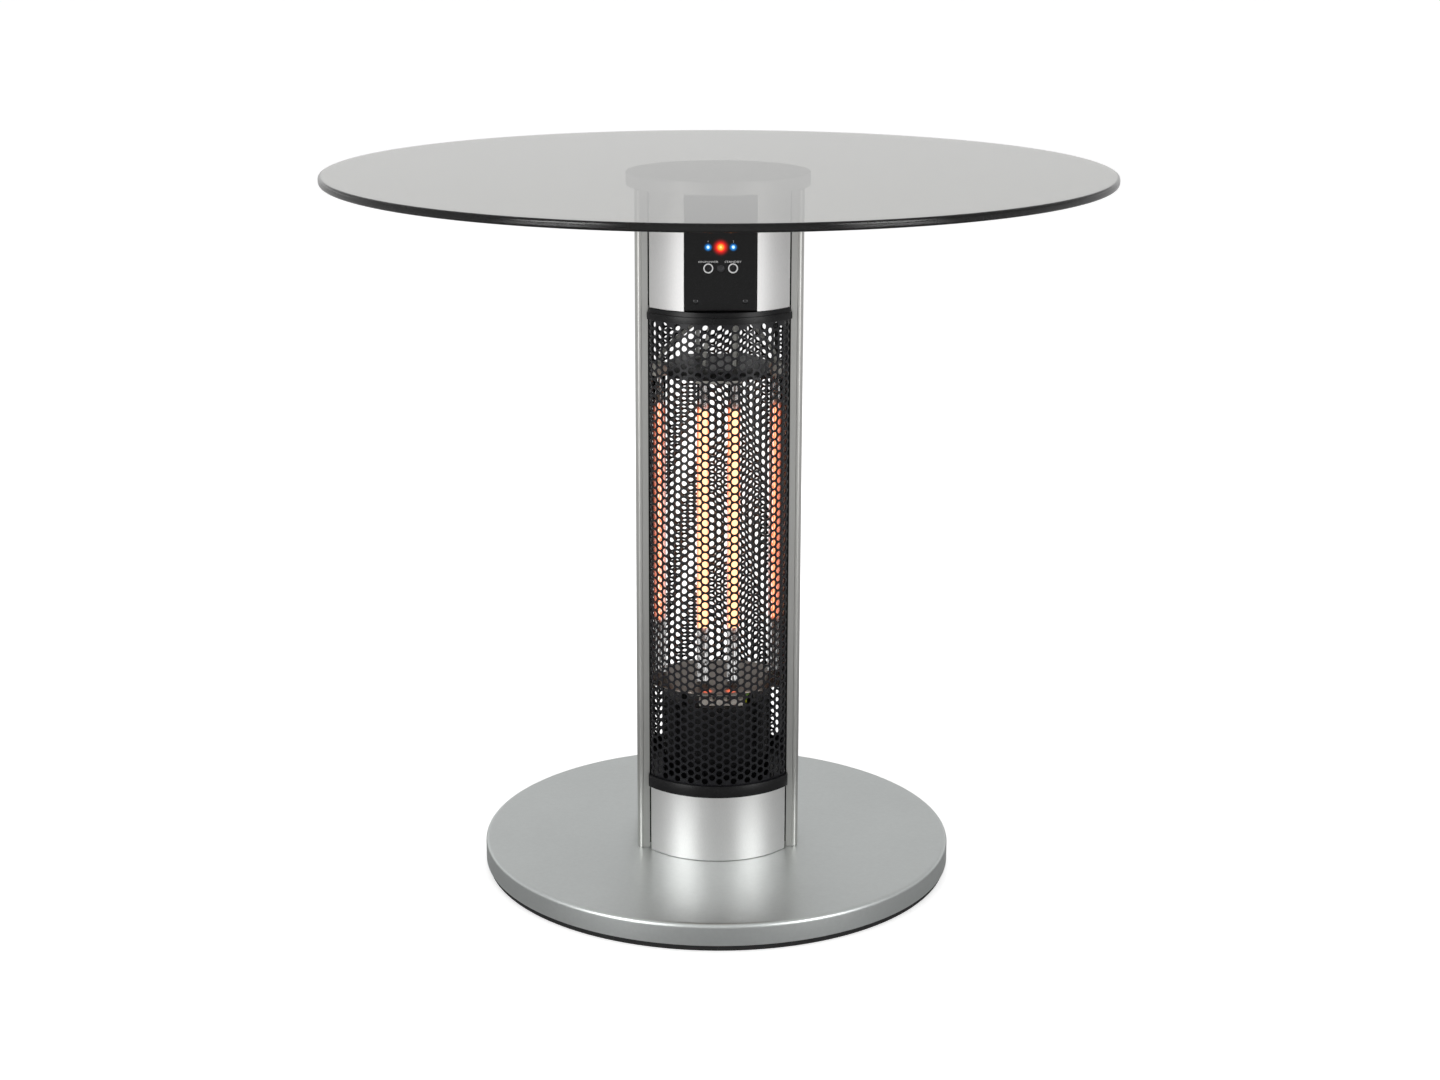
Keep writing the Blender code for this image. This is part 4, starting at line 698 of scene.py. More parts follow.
def build_base():
    steel = metal("satin_base_steel", finishes().steel_colour, scale=260, rough=(0.34, 0.42), shade=0.2,
                  bump=0.015)
    height, inner = BASE_TOP - BASE_BOTTOM, BASE_RADIUS - BASE_WALL
    profile = rounded_profile([(0, height), (BASE_RADIUS, height), (BASE_RADIUS, 0)], BASE_EDGE, 8)
    profile.insert(1, (BASE_RADIUS - BASE_EDGE - 0.001, height))
    profile += [(inner, 0), (inner, height - 0.004), (inner - BASE_EDGE, height - BASE_WALL),
                (0, height - BASE_WALL)]
    turned("base_dish", profile, 256, steel, "satin_steel", ("base_cover",), (0, 0, BASE_BOTTOM), angle=40)
    rubber = coat("black_foot_rubber", (0.012, 0.012, 0.012), fleck=(0.03, 0.03, 0.03), scale=800,
                  rough=(0.6, 0.8))
    chamfer = 0.001
    profile = [(FOOT_OUTER - chamfer, 0), (FOOT_OUTER, chamfer), (FOOT_OUTER, FOOT_TOP),
               (FOOT_INNER, FOOT_TOP), (FOOT_INNER, chamfer), (FOOT_INNER + chamfer, 0)]
    turned("foot_rubber", profile, 192, rubber, "black_rubber", ("foot_ring",), ring=True)


def build_collar():
    chamfer, low, high = 0.0003, COLLAR_BOTTOM, COLLAR_TOP
    outer, rim, inner = (rounded_barrel(COLLAR_RADIUS, inset) for inset in (0.0, chamfer, SLEEVE_WALL))
    sections = [level(rim, low), level(outer, low + chamfer), level(outer, high - chamfer), level(rim, high),
                level(inner, high), level(inner, low)]
    item = lofted("collar_sleeve", sections, sleeve_metal(), "satin_aluminium", ("lower_collar",), ring=True)
    drill(item, [(GLAND_HOLE, (0, 0.08, GLAND_HEIGHT), (0, 0.1, GLAND_HEIGHT))], 48)


def build_gland():
    """Cable inlet at the rear, from the hole's barbs out to the clamping cone."""
    profile = [(0.006, 0.0842), (0.0075, 0.0872), (0.006, 0.0872), (0.006, 0.0898), (0.0088, 0.0898),
               (0.009, 0.0902), (0.009, 0.0944), (0.0086, 0.0948), (0.0066, 0.0975), (0.0056, 0.1018),
               (0.0048, 0.1038), (0.0036, 0.1038), (0.0036, 0.0842)]
    item = turned("gland_nut", profile, 48, black_plastic(), "black_plastic", ("cable_gland",),
                  (0, 0, GLAND_HEIGHT), (0, 1, 0), ring=True)
    notches = circle(GLAND_GRIP, 12, (0, GLAND_HEIGHT))
    drill(item, [(0.0009, (x, 0.0902, z), (x, 0.0950, z)) for x, z in notches], 12)


def build_rings():
    soft, inset, proud = sizes().edge_radius, 0.0034, 0.003
    rebate_half, ledge_half, lip_half = HALF_WIDTH + SEAT_GAP, HALF_WIDTH - inset, HALF_WIDTH + SHEET_GAP
    rebate = eared_barrel(GUARD_RADIUS + SHEET_GAP, rebate_half, rebate_half)
    ledge = eared_barrel(GUARD_RADIUS - inset, ledge_half, ledge_half)
    lip = eared_barrel(GUARD_RADIUS + 0.0013, lip_half, lip_half)
    outer = eared_barrel(GUARD_RADIUS + proud, HALF_WIDTH + 0.0027, RING_WAIST)
    low, high = LOWER_RING_BOTTOM, LOWER_RING_TOP
    sections = [level(ledge, low + FLOOR_THICKNESS), level(ledge, high - REBATE_DEPTH),
                level(rebate, high - REBATE_DEPTH), level(rebate, high), level(outer, high),
                level(outer, low)]
    item = lofted("lower_tray_ring", sections, enamel(), "black_enamel", ("lower_ring",), bevel=soft)
    drill(item, upright(0.014, [(0, 0)], 0.09, 0.11), 48)
    low, high, band = UPPER_RING_BOTTOM, UPPER_RING_TOP, UPPER_BAND_TOP
    sections = [level(ledge, high - FLOOR_THICKNESS), level(ledge, low + REBATE_DEPTH),
                level(rebate, low + REBATE_DEPTH), level(rebate, low), level(outer, low), level(outer, band),
                level(lip, band), level(lip, high)]
    item = lofted("upper_cap_ring", sections, enamel(), "black_enamel", ("upper_ring",), bevel=soft)
    holes = upright(0.0027, LEAD_EXITS, 0.60, 0.62) + upright(0.0031, [(0.038, 0.025)], 0.60, 0.62)
    drill(item, holes)


def guard_cells(half, height, offset):
    """Centres of the holes: columns whose rows are staggered by half a pitch."""
    pitch, margin = sizes().hole_pitch, sizes().guard_margin
    reach = pitch / math.sqrt(3)
    side = int((half - margin - reach) / (1.5 * reach) - offset)
    rows = int((height - 2 * margin) / pitch)
    start = (height - rows * pitch) / 2
    cells = []
    for column in range(-side if offset == 0 else -side - 1, side + 1):
        shift = column % 2
        for row in range(rows - shift):
            cells.append((1.5 * reach * (column + offset), start + pitch * (row + 0.5 + shift / 2)))
    return cells, reach, 1.5 * reach * (side + offset)


def guard_pattern(half, height, offset):
    """Flat pattern of the sheet: points, and faces that leave the holes open."""
    cells, reach, edge_column = guard_cells(half, height, offset)
    hole, middle = sizes().hole_diameter / 2, reach * math.sqrt(3) / 2
    points, index, faces, rims = [], {}, [], {}

    def vertex(x, y):
        key = (round(x * 1e7), round(y * 1e7))
        if key not in index:
            index[key] = len(points)
            points.append((x, y))
        return index[key]

    def border(k):
        x, y = points[k]
        if abs(x) > edge_column + reach / 2 - 1e-6:
            return "x", vertex(math.copysign(half, x), y)
        return "y", vertex(x, height if y > height / 2 else 0.0)

    for x, y in cells:
        ring, mouth = [], []
        for k, (c, s) in enumerate(circle(1, 12)):
            size = middle if k % 2 else reach
            ring.append(vertex(x + size * c, y + size * s))
            mouth.append(vertex(x + hole * c, y + hole * s))
        for k in range(12):
            n = (k + 1) % 12
            faces.append((ring[k], ring[n], mouth[n], mouth[k]))
            if rims.pop((ring[n], ring[k]), None) is None:
                rims[ring[k], ring[n]] = True
    for a, b in list(rims):
        (side_a, outer_a), (side_b, outer_b) = border(a), border(b)
        if side_a == side_b:
            faces.append((b, a, outer_a, outer_b))
            continue
        x, y = (outer_a, outer_b) if side_a == "x" else (outer_b, outer_a)
        faces.append((b, a, outer_a, vertex(points[x][0], points[y][1]), outer_b))
    return points, faces


def build_guard():
    """Two halves of perforated sheet, each curved in front with flat returns at its sides."""
    _, arc_length, turn, depth = sleeve_path(GUARD_RADIUS)
    half = arc_length + turn + depth - SEAT_GAP / 2
    sheen = coat("guard_enamel_coat", (0.008, 0.008, 0.010), fleck=(0.03, 0.03, 0.033), scale=1400,
                 rough=(0.24, 0.34), bump=0.05, specular=0.36)
    for name, side, offset in (("guard_front", -1, 0.0), ("guard_rear", 1, 0.5)):
        points, faces = guard_pattern(half, GUARD_TOP - GUARD_BOTTOM, offset)
        borders = {}
        for face in faces:
            for a, b in zip(face, face[1:] + face[:1]):
                key = (min(a, b), max(a, b))
                borders[key] = None if key in borders else (a, b)
        count = len(points)
        shell = faces + [tuple(k + count for k in reversed(face)) for face in faces]
        shell += [(b, a, a + count, b + count) for a, b in filter(None, borders.values())]
        places = []
        for inset in (0.0, GUARD_SHEET):
            for along, rise in points:
                x, y = sleeve_point(along, GUARD_RADIUS, inset)
                places.append((-side * x, -side * y, GUARD_BOTTOM + rise))
        mesh = bpy.data.meshes.new(name)
        mesh.from_pydata(places, [], shell)
        mesh.update()
        bm = bmesh.new()
        bm.from_mesh(mesh)
        bpy.data.meshes.remove(mesh)
        piece(name + "_sheet", bm, sheen, "black_enamel", (name,), angle=40)


def post_outline():
    """Section of a corner post, from its inner front edge: flat lip, ridge, rounded corner and bolt port."""
    lip, width, depth, wall, chamfer = 0.0062, 0.0129, 0.0200, 0.0018, 0.0006
    ridge, turn_depth, inner_turn = 0.0005, 0.0075, 0.0057
    start, inner_width = lip + 0.0018, width - wall
    crest = [(lip, 0), (lip + 0.0004, -ridge * 0.9), (lip + 0.0009, -ridge), (lip + 0.0014, -ridge * 0.9)]
    shoulder = arc((start, turn_depth), (width - start, turn_depth), -math.pi / 2, 0, 10)
    back = [(width, depth - chamfer), (width - chamfer, depth), (0, depth), (0, depth - wall),
            (inner_width, depth - wall)]
    port, bore, shell, opening = (0.0073, 0.0125), 0.0028, 0.0041, math.radians(130)
    merge = math.acos((inner_width - port[0]) / shell)
    screw_port = arc(port, shell, merge, opening, 10) + arc(port, bore, opening, -opening, 20)
    screw_port += arc(port, shell, -opening, -merge, 10)
    inner_shoulder = arc((start, wall + inner_turn), (inner_width - start, inner_turn), 0, -math.pi / 2, 8)
    return [(0, 0)] + crest + shoulder + back + screw_port + inner_shoulder + [(0, wall)]


def build_posts():
    skin = metal("anodised_post_metal", finishes().post_colour, 1200, (0.30, 0.38), stretch=(1, 1, 0.03))
    for name, sx, sy in CORNERS:
        outline = [(sx * (POST_INNER + u), sy * (POST_FACE - w)) for u, w in post_outline()]
        sections = [level(outline, COLLAR_BOTTOM), level(outline, HOUSING_TOP)]
        lofted("post_profile_" + name, sections, skin, "satin_aluminium", ("post_" + name,), angle=28)


def build_gap_shade_strips():
    """Black strips of painted shade that close the narrow gap between each post and the flat sides of the
    column, standing in for the shade that falls in that gap.
    """
    # painted shade: a plain black coat on strips set where only the shade of the gap would be seen
    rubber = coat("black_painted_gap_shade", (0.010, 0.010, 0.010), fleck=(0.02, 0.02, 0.02), scale=900,
                  rough=(0.6, 0.8))
    short = 0.0005
    stretches = ((COLLAR_BOTTOM + 0.004, COLLAR_TOP - short),
                 (LOWER_RING_TOP + short, UPPER_RING_BOTTOM - short),
                 (HOUSING_BOTTOM + short, HOUSING_TOP - short))
    bm = bmesh.new()
    for _, sx, sy in CORNERS:
        near, far = sorted((sx * (HALF_WIDTH + 0.0002), sx * (POST_INNER - 0.0001)))
        front, back = sorted((sy * 0.0465, sy * 0.0410))
        for low, high in stretches:
            add_box(bm, (near, front, low), (far, back, high))
    piece("gap_shade_strips", bm, rubber, "black_rubber")


def socket_top(x):
    """Height of the upper sockets' top: those of the side tubes stand through the shade."""
    return SHADE_TOP if abs(x) == SIDE_X else SHADE_TOP - PAIR_DROP


def tube_top(x):
    return socket_top(x) - SOCKET_HEIGHT + SOCKET_DEPTH - SEAT_GAP


def add_spring(bm, x, y, low, high, radius=0.0026, wire=0.0004, turns=7, steps=16):
    route = []
    for k in range(turns * steps + 1):
        angle = 2 * math.pi * k / steps
        route.append((x + radius * math.cos(angle), y + radius * math.sin(angle),
                      low + (high - low) * k / (turns * steps)))
    add_tube(bm, route, wire, 8)


def add_ribbon(bm, x, y, width, steps=24, count=6, thick=0.0008, bow=0.0004):
    """Bowed ribbon with UVs, u across and v along; those of the side tubes stand edge-on."""
    layer = bm.loops.layers.uv.new("ribbon")

    def vertex(row, k, sign):
        across = (k / count - 0.5) * width
        offset = bow * math.cos(math.pi * (k / count - 0.5)) + sign * thick / 2
        rise = RIBBON_BOTTOM + (RIBBON_TOP - RIBBON_BOTTOM) * row / steps
        if abs(x) == SIDE_X:
            return bm.verts.new((x + (offset if x > 0 else -offset), y + across, rise))
        return bm.verts.new((x + across, y - offset, rise))

    def face(corners, marks):
        for loop, (u, v) in zip(bm.faces.new(corners).loops, marks):
            loop[layer].uv = (u / count, v / steps)

    outer, inner = ([[vertex(row, k, sign) for k in range(count + 1)] for row in range(steps + 1)]
                    for sign in (1, -1))
    for r in range(steps):
        for k in range(count):
            spots = ((k, r), (k + 1, r), (k + 1, r + 1), (k, r + 1))
            for grid in (outer, inner):
                face([grid[v][u] for u, v in spots], spots)
    for k in (0, count):
        for r in range(steps):
            face((outer[r][k], outer[r + 1][k], inner[r + 1][k], inner[r][k]), [(k, r)] * 4)
    for r in (0, steps):
        for k in range(count):
            face((outer[r][k], outer[r][k + 1], inner[r][k + 1], inner[r][k]), [(count, r)] * 4)


def build_tube(name, x, y):
    low, high = TUBE_BOTTOM, tube_top(x)
    profile = [(TUBE_RADIUS - TUBE_BEVEL, low), (TUBE_RADIUS, low + TUBE_BEVEL),
               (TUBE_RADIUS, high - TUBE_BEVEL), (TUBE_RADIUS - TUBE_BEVEL, high), (TUBE_BORE, high),
               (TUBE_BORE, low)]
    turned("quartz_tube_" + name, profile, 48, quartz(), "quartz", ("tube_" + name,), (x, y, 0), ring=True,
           angle=50)
    bm = bmesh.new()
    add_ribbon(bm, x, y, sizes().ribbon_width)
    piece("ribbon_" + name, bm, glowing_ribbon(), "carbon", ("element_" + name,), angle=50)


def build_pins(name, x, y, pin_metal):
    """Springs and pins that hold the ribbon in its tube."""
    hook, spring = 0.002, 0.016
    bm = bmesh.new()
    add_spring(bm, x, y, RIBBON_BOTTOM - spring, RIBBON_BOTTOM - hook)
    add_spring(bm, x, y, RIBBON_TOP + hook, RIBBON_TOP + spring)
    add_post(bm, 0.0008, x, y, TUBE_BOTTOM + SEAT_GAP, RIBBON_BOTTOM + hook, 12)
    add_post(bm, 0.0008, x, y, RIBBON_TOP - hook, tube_top(x), 12)
    piece("tube_pins_" + name, bm, pin_metal, "zinc_steel")


def build_lead(name, x, y, exit_place, sleeve):
    """Sleeved lead from the top of a tube, straight up and then eased over to its hole in the ceiling."""
    start = max(socket_top(x), SHADE_TOP) + SEAT_GAP
    route = [(x, y, tube_top(x) + SEAT_GAP)] + eased_route((x, y, start), (*exit_place, CEILING), 20)
    route.append((*exit_place, UPPER_RING_TOP - SEAT_GAP))
    bm = bmesh.new()
    add_tube(bm, route, LEAD_RADIUS, 20)
    piece("lead_sleeve_" + name, bm, sleeve, "ceramic", angle=50)


def build_side_sockets(name, x, y):
    profile = [(SOCKET_BORE, 0), (SOCKET_RADIUS - 0.0006, 0), (SOCKET_RADIUS, 0.0006),
               (SOCKET_RADIUS, SOCKET_HEIGHT - 0.0005), (SOCKET_RADIUS - 0.0005, SOCKET_HEIGHT),
               (SOCKET_CUP, SOCKET_HEIGHT), (SOCKET_CUP, SOCKET_HEIGHT - SOCKET_DEPTH),
               (SOCKET_BORE, SOCKET_HEIGHT - SOCKET_DEPTH)]
    for prefix, floor, opening in (("lower", SOCKET_FLOOR, 1), ("upper", socket_top(x), -1)):
        turned(f"{prefix}_ceramic_{name}", profile, 40, ceramic(), "ceramic", (f"{prefix}_socket_{name}",),
               (x, y, floor), (0, 0, opening), ring=True)


def build_pair_socket(prefix, floor, opening):
    """Oblong ceramic with two bored cups for the front pair."""
    outline = arc((PAIR_X, PAIR_Y), SOCKET_RADIUS, -math.pi / 2, math.pi / 2, 16)
    outline += [(-x, 2 * PAIR_Y - y) for x, y in outline]
    end = floor + opening * SOCKET_HEIGHT
    seat = floor + opening * (SOCKET_HEIGHT - SOCKET_DEPTH)
    item = lofted(prefix + "_ceramic_pair", [level(outline, floor), level(outline, end)], ceramic(),
                  "ceramic", (prefix + "_socket_pair",), bevel=0.0004)
    spare = opening * 0.003
    places = [(x, PAIR_Y) for x in both(PAIR_X)]
    drill(item, upright(SOCKET_CUP, places, seat, end + spare), 36)
    drill(item, upright(SOCKET_BORE, places, floor - spare, seat + spare), 36)


def build_tubes():
    pin_metal = metal("grey_pin_metal", (0.35, 0.34, 0.33), scale=500, rough=(0.3, 0.45))
    sleeve = coat("glass_fibre_sleeve", (0.62, 0.61, 0.57), fleck=(0.40, 0.39, 0.36), scale=1800,
                  rough=(0.7, 0.85), amount=0.7, bump=0.5)
    for (name, x, y), exit_place in zip(TUBES, LEAD_EXITS):
        build_tube(name, x, y)
        build_pins(name, x, y, pin_metal)
        build_lead(name, x, y, exit_place, sleeve)
        if abs(x) == SIDE_X:
            build_side_sockets(name, x, y)
    build_pair_socket("lower", SOCKET_FLOOR, 1)
    build_pair_socket("upper", socket_top(PAIR_X), -1)


def plate_outline(half_width, back, back_half_width, radius=0.079):
    rear = [(half_width, 0.009), (back_half_width, back), (-back_half_width, back), (-half_width, 0.009)]
    return arc_points(radius, half_width, -1, 48) + rear


def build_drum():
    wall, inner = DRUM_WALL, DRUM_RADIUS - DRUM_WALL
    low, high = DRUM_BOTTOM, DRUM_TOP
    profile = rounded_profile([(0, high), (DRUM_RADIUS, high), (DRUM_RADIUS, low)], 0.0015, 4)
    profile += [(inner, low), (inner, high - 0.002), (DRUM_RADIUS - 0.003, high - wall), (0, high - wall)]
    bm = bmesh.new()
    add_turned(bm, profile, 96)
    for x in both(0.034):
        add_post(bm, 0.0035, x, -0.024, high + 0.0001, REFLECTOR_BOTTOM - SEAT_GAP)
    piece("heater_drum", bm, enamel(), "black_enamel", ("inner_drum",))


def build_reflector():
    tinted = metal("heat_tinted_plate_painted_glow", (0.42, 0.37, 0.33), scale=160, rough=(0.22, 0.42), shade=0.9)
    # painted reflection: red emission spots on the plate's front under the two front tubes, standing in for
    # the ribbons' glow; only the brownish base colour is heat tint
    spots = [((x, -0.070, REFLECTOR_TOP), 0.0105, (1.0, 0.16, 0.07)) for x in both(0.0125)]
    add_shine(tinted, spots, 1.3)
    outline = plate_outline(0.0682, 0.033, 0.028)
    sections = [level(outline, REFLECTOR_BOTTOM), level(outline, REFLECTOR_TOP)]
    item = lofted("reflector_plate", sections, tinted, "bright_metal", ("reflector",), bevel=0.0003)
    drill(item, upright(SOCKET_CUP, [(x, y) for _, x, y in TUBES], 0.20, 0.22), 36)


def build_shade():
    back, low = 0.044, SHADE_TOP - 0.0045
    outline = plate_outline(0.0515, back, 0.033)
    shrink = 1 - SHADE_SHEET / back
    inner = [(x * shrink, y * shrink) for x, y in outline]
    sections = [level(inner, low + 0.003), level(inner, low), level(outline, low), level(outline, SHADE_TOP)]
    item = lofted("shade_plate", sections, enamel(), "black_enamel", ("upper_shade",), bevel=0.0003)
    drill(item, upright(0.0027, [(x, PAIR_Y) for x in both(PAIR_X)], 0.53, 0.56))
    nut, thick = 0.0040, 0.0030
    bm = bmesh.new()
    for x in both(STUD_X):
        add_post(bm, 0.0022, x, STUD_Y, SHADE_TOP - 0.0005, CEILING, 20)
        add_post(bm, nut, x, STUD_Y, SHADE_TOP + 0.0001, SHADE_TOP + thick, 6)
        add_post(bm, nut, x, STUD_Y, CEILING - thick, CEILING, 6)
    piece("shade_studs", bm, zinc(), "zinc_steel")


def build_terminal_strip():
    """Three pairs of screw terminals in one ceramic strip on the drum."""
    width, depth, poles = 0.046, 0.008, 3
    middle, front = 0.003, -0.045
    floor, top = DRUM_TOP + SEAT_GAP, DRUM_TOP + SEAT_GAP + 0.0075
    bm = bmesh.new()
    add_box(bm, (middle - width / 2, front - depth / 2, floor), (middle + width / 2, front + depth / 2, top))
    item = piece("terminal_strip", bm, ceramic(), "ceramic", ("terminal_block",), bevel=0.0005)
    left, step = middle - width / 2, width / poles
    screws = [left + (k + 0.5) * step + side for k in range(poles) for side in both(0.0035)]
    bm = bmesh.new()
    for k in (1, 2):
        x = left + k * step
        add_box(bm, (x - 0.0013, front - depth, top - 0.0026), (x + 0.0013, front + depth, top + 0.002))
    for x in screws:
        add_post(bm, 0.0018, x, front, top - 0.003, top + 0.002, 20)
    carve(item, bm)
    bm = bmesh.new()
    for x in screws:
        add_post(bm, 0.0015, x, front, top - 0.0029, top - 0.0010, 20)
    piece("terminal_screws", bm, zinc(), "zinc_steel")


def build_wires():
    floor = DRUM_TOP + SEAT_GAP
    sheath = coat("conduit_sheath", (0.02, 0.02, 0.021), fleck=(0.06, 0.06, 0.06), scale=900,
                  rough=(0.45, 0.6))
    route = [(0.0439, 0.025, floor)] + eased_route((0.0439, 0.025, 0.1911), (0.0625, 0.025, 0.2095), 14)
    route += eased_route((0.0625, 0.025, 0.566), (0.0381, 0.025, CEILING), 16)
    route.append((0.0381, 0.025, UPPER_RING_TOP - SEAT_GAP))
    bm = bmesh.new()
    add_tube(bm, route, 0.0028, 24)
    piece("mains_conduit", bm, sheath, "black_plastic", ("wire_conduit",), angle=50)
    earth = coat("earth_sleeve", (0.16, 0.34, 0.03), fleck=(0.75, 0.65, 0.05), scale=260, rough=(0.4, 0.5),
                 amount=0.8)
    route = [(0.0291, -0.0368, floor)] + eased_route((0.0291, -0.0368, 0.1886), (0.0351, -0.0368, 0.2049), 12)
    route.append((0.0351, -0.0368, REFLECTOR_BOTTOM - SEAT_GAP))
    bm = bmesh.new()
    add_tube(bm, route, 0.0014, 16)
    piece("earth_wire", bm, earth, "earth_green", ("earth_lead",), angle=50)


def build_housing():
    start = HOUSING_RADIUS * math.asin((PANEL_HALF + SEAT_GAP) / HOUSING_RADIUS)
    outer, inner = (rounded_barrel(HOUSING_RADIUS, inset, start) for inset in (0.0, SLEEVE_WALL))
    outline = outer + inner[::-1]
    sections = [level(outline, HOUSING_BOTTOM), level(outline, HOUSING_TOP)]
    lofted("housing_sleeve", sections, sleeve_metal(), "satin_aluminium", ("upper_housing",))


def panel_section(inset, behind):
    """Upright rectangle of the panel, drawn in from its outline and set behind its face."""
    half, low, high = PANEL_HALF - inset, HOUSING_BOTTOM + SEAT_GAP + inset, HOUSING_TOP - SEAT_GAP - inset
    corners = ((-half, low), (half, low), (half, high), (-half, high))
    return [Vector((x, PANEL_FACE + behind, z)) for x, z in corners]


def recess(x, z, radius, depth=RECESS_BACK):
    return radius, (x, PANEL_FACE + RECESS_FRONT, z), (x, PANEL_FACE + depth, z)


def build_panel():
    wall, chamfer, back = 0.0018, 0.0008, 0.014
    sections = [panel_section(wall, 0.0024), panel_section(wall, back), panel_section(0, back),
                panel_section(0, chamfer), panel_section(chamfer, 0)]
    item = lofted("panel_plate", sections, panel_plastic(), "black_plastic", ("control_panel",))
    holes = [recess(x, LAMP_HEIGHT, 0.0018) for x in (-LAMP_SPACING, 0, LAMP_SPACING)]
    holes += [recess(x, BUTTON_HEIGHT, 0.0048) for x in both(BUTTON_SPACING)]
    holes.append(recess(0, BUTTON_HEIGHT, 0.0038))
    holes += [recess(x, SCREW_HEIGHT, 0.0017) for x in both(SCREW_SPACING)]
    drill(item, holes, 40)
    drill(item, [recess(x, SCREW_HEIGHT, 0.0028, 0.0015) for x in both(SCREW_SPACING)], 40)


def fitting(name, node_name, profile, steps, x, z, material, slot, **looks):
    """Turned piece that sits in the panel, with its profile measured back from the panel's face."""
    return turned(name, profile, steps, material, slot, (node_name,), (x, PANEL_FACE, z), (0, 1, 0), **looks)


def build_lamps():
    red = lamp_lens("red_lamp_lens", (1.0, 0.06, 0.02), glow=(1.0, 0.45, 0.12), strength=2.2)
    blue = lamp_lens("blue_lamp_lens", (0.03, 0.30, 0.95), glow=(0.70, 0.92, 1.0), strength=1.4)
    dome = [(0, -0.00075), (0.0005, -0.0007), (0.0010, -0.00045), (0.0014, 0.0001), (0.0015, 0.00075),
            (0.0015, FITTING_END), (0, FITTING_END)]
    for name, x, lens, slot in (("power_lamp", 0, red, "red_lens"),
                                ("status_lamp_left", -LAMP_SPACING, blue, "blue_lens"),
                                ("status_lamp_right", LAMP_SPACING, blue, "blue_lens")):
        fitting(name + "_dome", name, dome, 32, x, LAMP_HEIGHT, lens, slot, angle=50)
    window = coat("receiver_lens", (0.035, 0.035, 0.038), fleck=(0.06, 0.06, 0.065), scale=500,
                  rough=(0.12, 0.2), amount=0.2, bump=0.02)
    dome = [(0, -0.0004), (0.0015, -0.00034), (0.0028, -0.00012), (0.0035, 0.0001), (0.0035, FITTING_END),
            (0, FITTING_END)]
    fitting("receiver_dome", "receiver_window", dome, 48, 0, BUTTON_HEIGHT, window, "dark_lens", angle=50)


def build_buttons():
    ring = [(0.0037, -0.0006), (0.0038, -0.0008), (0.0048, -0.0008), (0.0049, -0.0006), (0.0049, -0.0003),
            (0.0045, -0.0003), (0.0045, 0.0024), (0.0037, 0.0024)]
    cap = [(0, -0.0011), (0.0018, -0.00118), (0.0028, -0.0013), (0.0033, -0.0010), (0.0034, -0.0006),
           (0.0034, 0.0027), (0.0044, 0.0027), (0.0044, 0.0035), (0.0017, 0.0035), (0.0017, 0.0046),
           (0, 0.0046)]
    for name, x in (("power_button", -BUTTON_SPACING), ("standby_button", BUTTON_SPACING)):
        fitting(name + "_ring", name + "_bezel", ring, 64, x, BUTTON_HEIGHT, white_plastic(), "white_plastic",
                ring=True)
        fitting(name + "_cap", name, cap, 48, x, BUTTON_HEIGHT, black_plastic(), "black_plastic", body=name)


def add_word(bm, words, x, z, width, tall=WORD_HEIGHT):
    """Raised word on the panel's face, fitted to a width and a height round its middle."""
    data = bpy.data.curves.new("word", "FONT")
    data.body = words
    data.extrude = WORD_THICKNESS
    data.resolution_u = 2
    item = add_object("word", data)
    bpy.context.view_layer.update()
    graph = bpy.context.evaluated_depsgraph_get()
    mesh = bpy.data.meshes.new_from_object(item.evaluated_get(graph), depsgraph=graph)
    left, right = (end(vertex.co.x for vertex in mesh.vertices) for end in (min, max))
    foot, top = (end(vertex.co.y for vertex in mesh.vertices) for end in (min, max))
    for vertex in mesh.vertices:
        across = (vertex.co.x - (left + right) / 2) * width / (right - left)
        rise = (vertex.co.y - (foot + top) / 2) * tall / (top - foot)
        vertex.co = (x + across, PANEL_FACE - WORD_THICKNESS / 2 - vertex.co.z, z + rise)
    bm.from_mesh(mesh)
    bpy.data.objects.remove(item)
    bpy.data.meshes.remove(mesh)


def build_words():
    """Plain words over the two buttons and figures over the two status lamps."""
    ink = coat("white_printing_ink", (0.80, 0.80, 0.80), fleck=(0.75, 0.75, 0.75), scale=900,
               rough=(0.5, 0.6), amount=0.2, bump=0.02)
    bm = bmesh.new()
    add_word(bm, "ON/POWER", -BUTTON_SPACING, BUTTON_HEIGHT + 0.0064, 0.0196)
    add_word(bm, "STANDBY", BUTTON_SPACING, BUTTON_HEIGHT + 0.0064, 0.0166)
    add_word(bm, "1", -LAMP_SPACING, LAMP_HEIGHT + 0.0058, 0.0003, 0.0017)
    add_word(bm, "2", LAMP_SPACING, LAMP_HEIGHT + 0.0058, 0.0011, 0.0017)
    bmesh.ops.remove_doubles(bm, verts=bm.verts, dist=0.000002)
    piece("panel_words", bm, ink, "white_plastic")


def build_panel_screws():
    black_zinc = metal("black_zinc_screw", (0.07, 0.07, 0.072), scale=500, rough=(0.12, 0.2))
    head = [(0, 0.00005), (0.0018, 0.00010), (0.0024, 0.00045), (0.0025, 0.0007), (0.0025, 0.0012),
            (0.0014, 0.0012), (0.0014, FITTING_END), (0, FITTING_END)]
    for name, x in (("panel_screw_left", -SCREW_SPACING), ("panel_screw_right", SCREW_SPACING)):
        item = fitting(name + "_head", name, head, 40, x, SCREW_HEIGHT, black_zinc, "black_enamel")
        for wide, tall in ((0.0014, 0.0003), (0.0003, 0.0014)):
            bm = bmesh.new()
            add_box(bm, (x - wide, PANEL_FACE - 0.001, SCREW_HEIGHT - tall),
                    (x + wide, PANEL_FACE + 0.0007, SCREW_HEIGHT + tall))
            carve(item, bm)


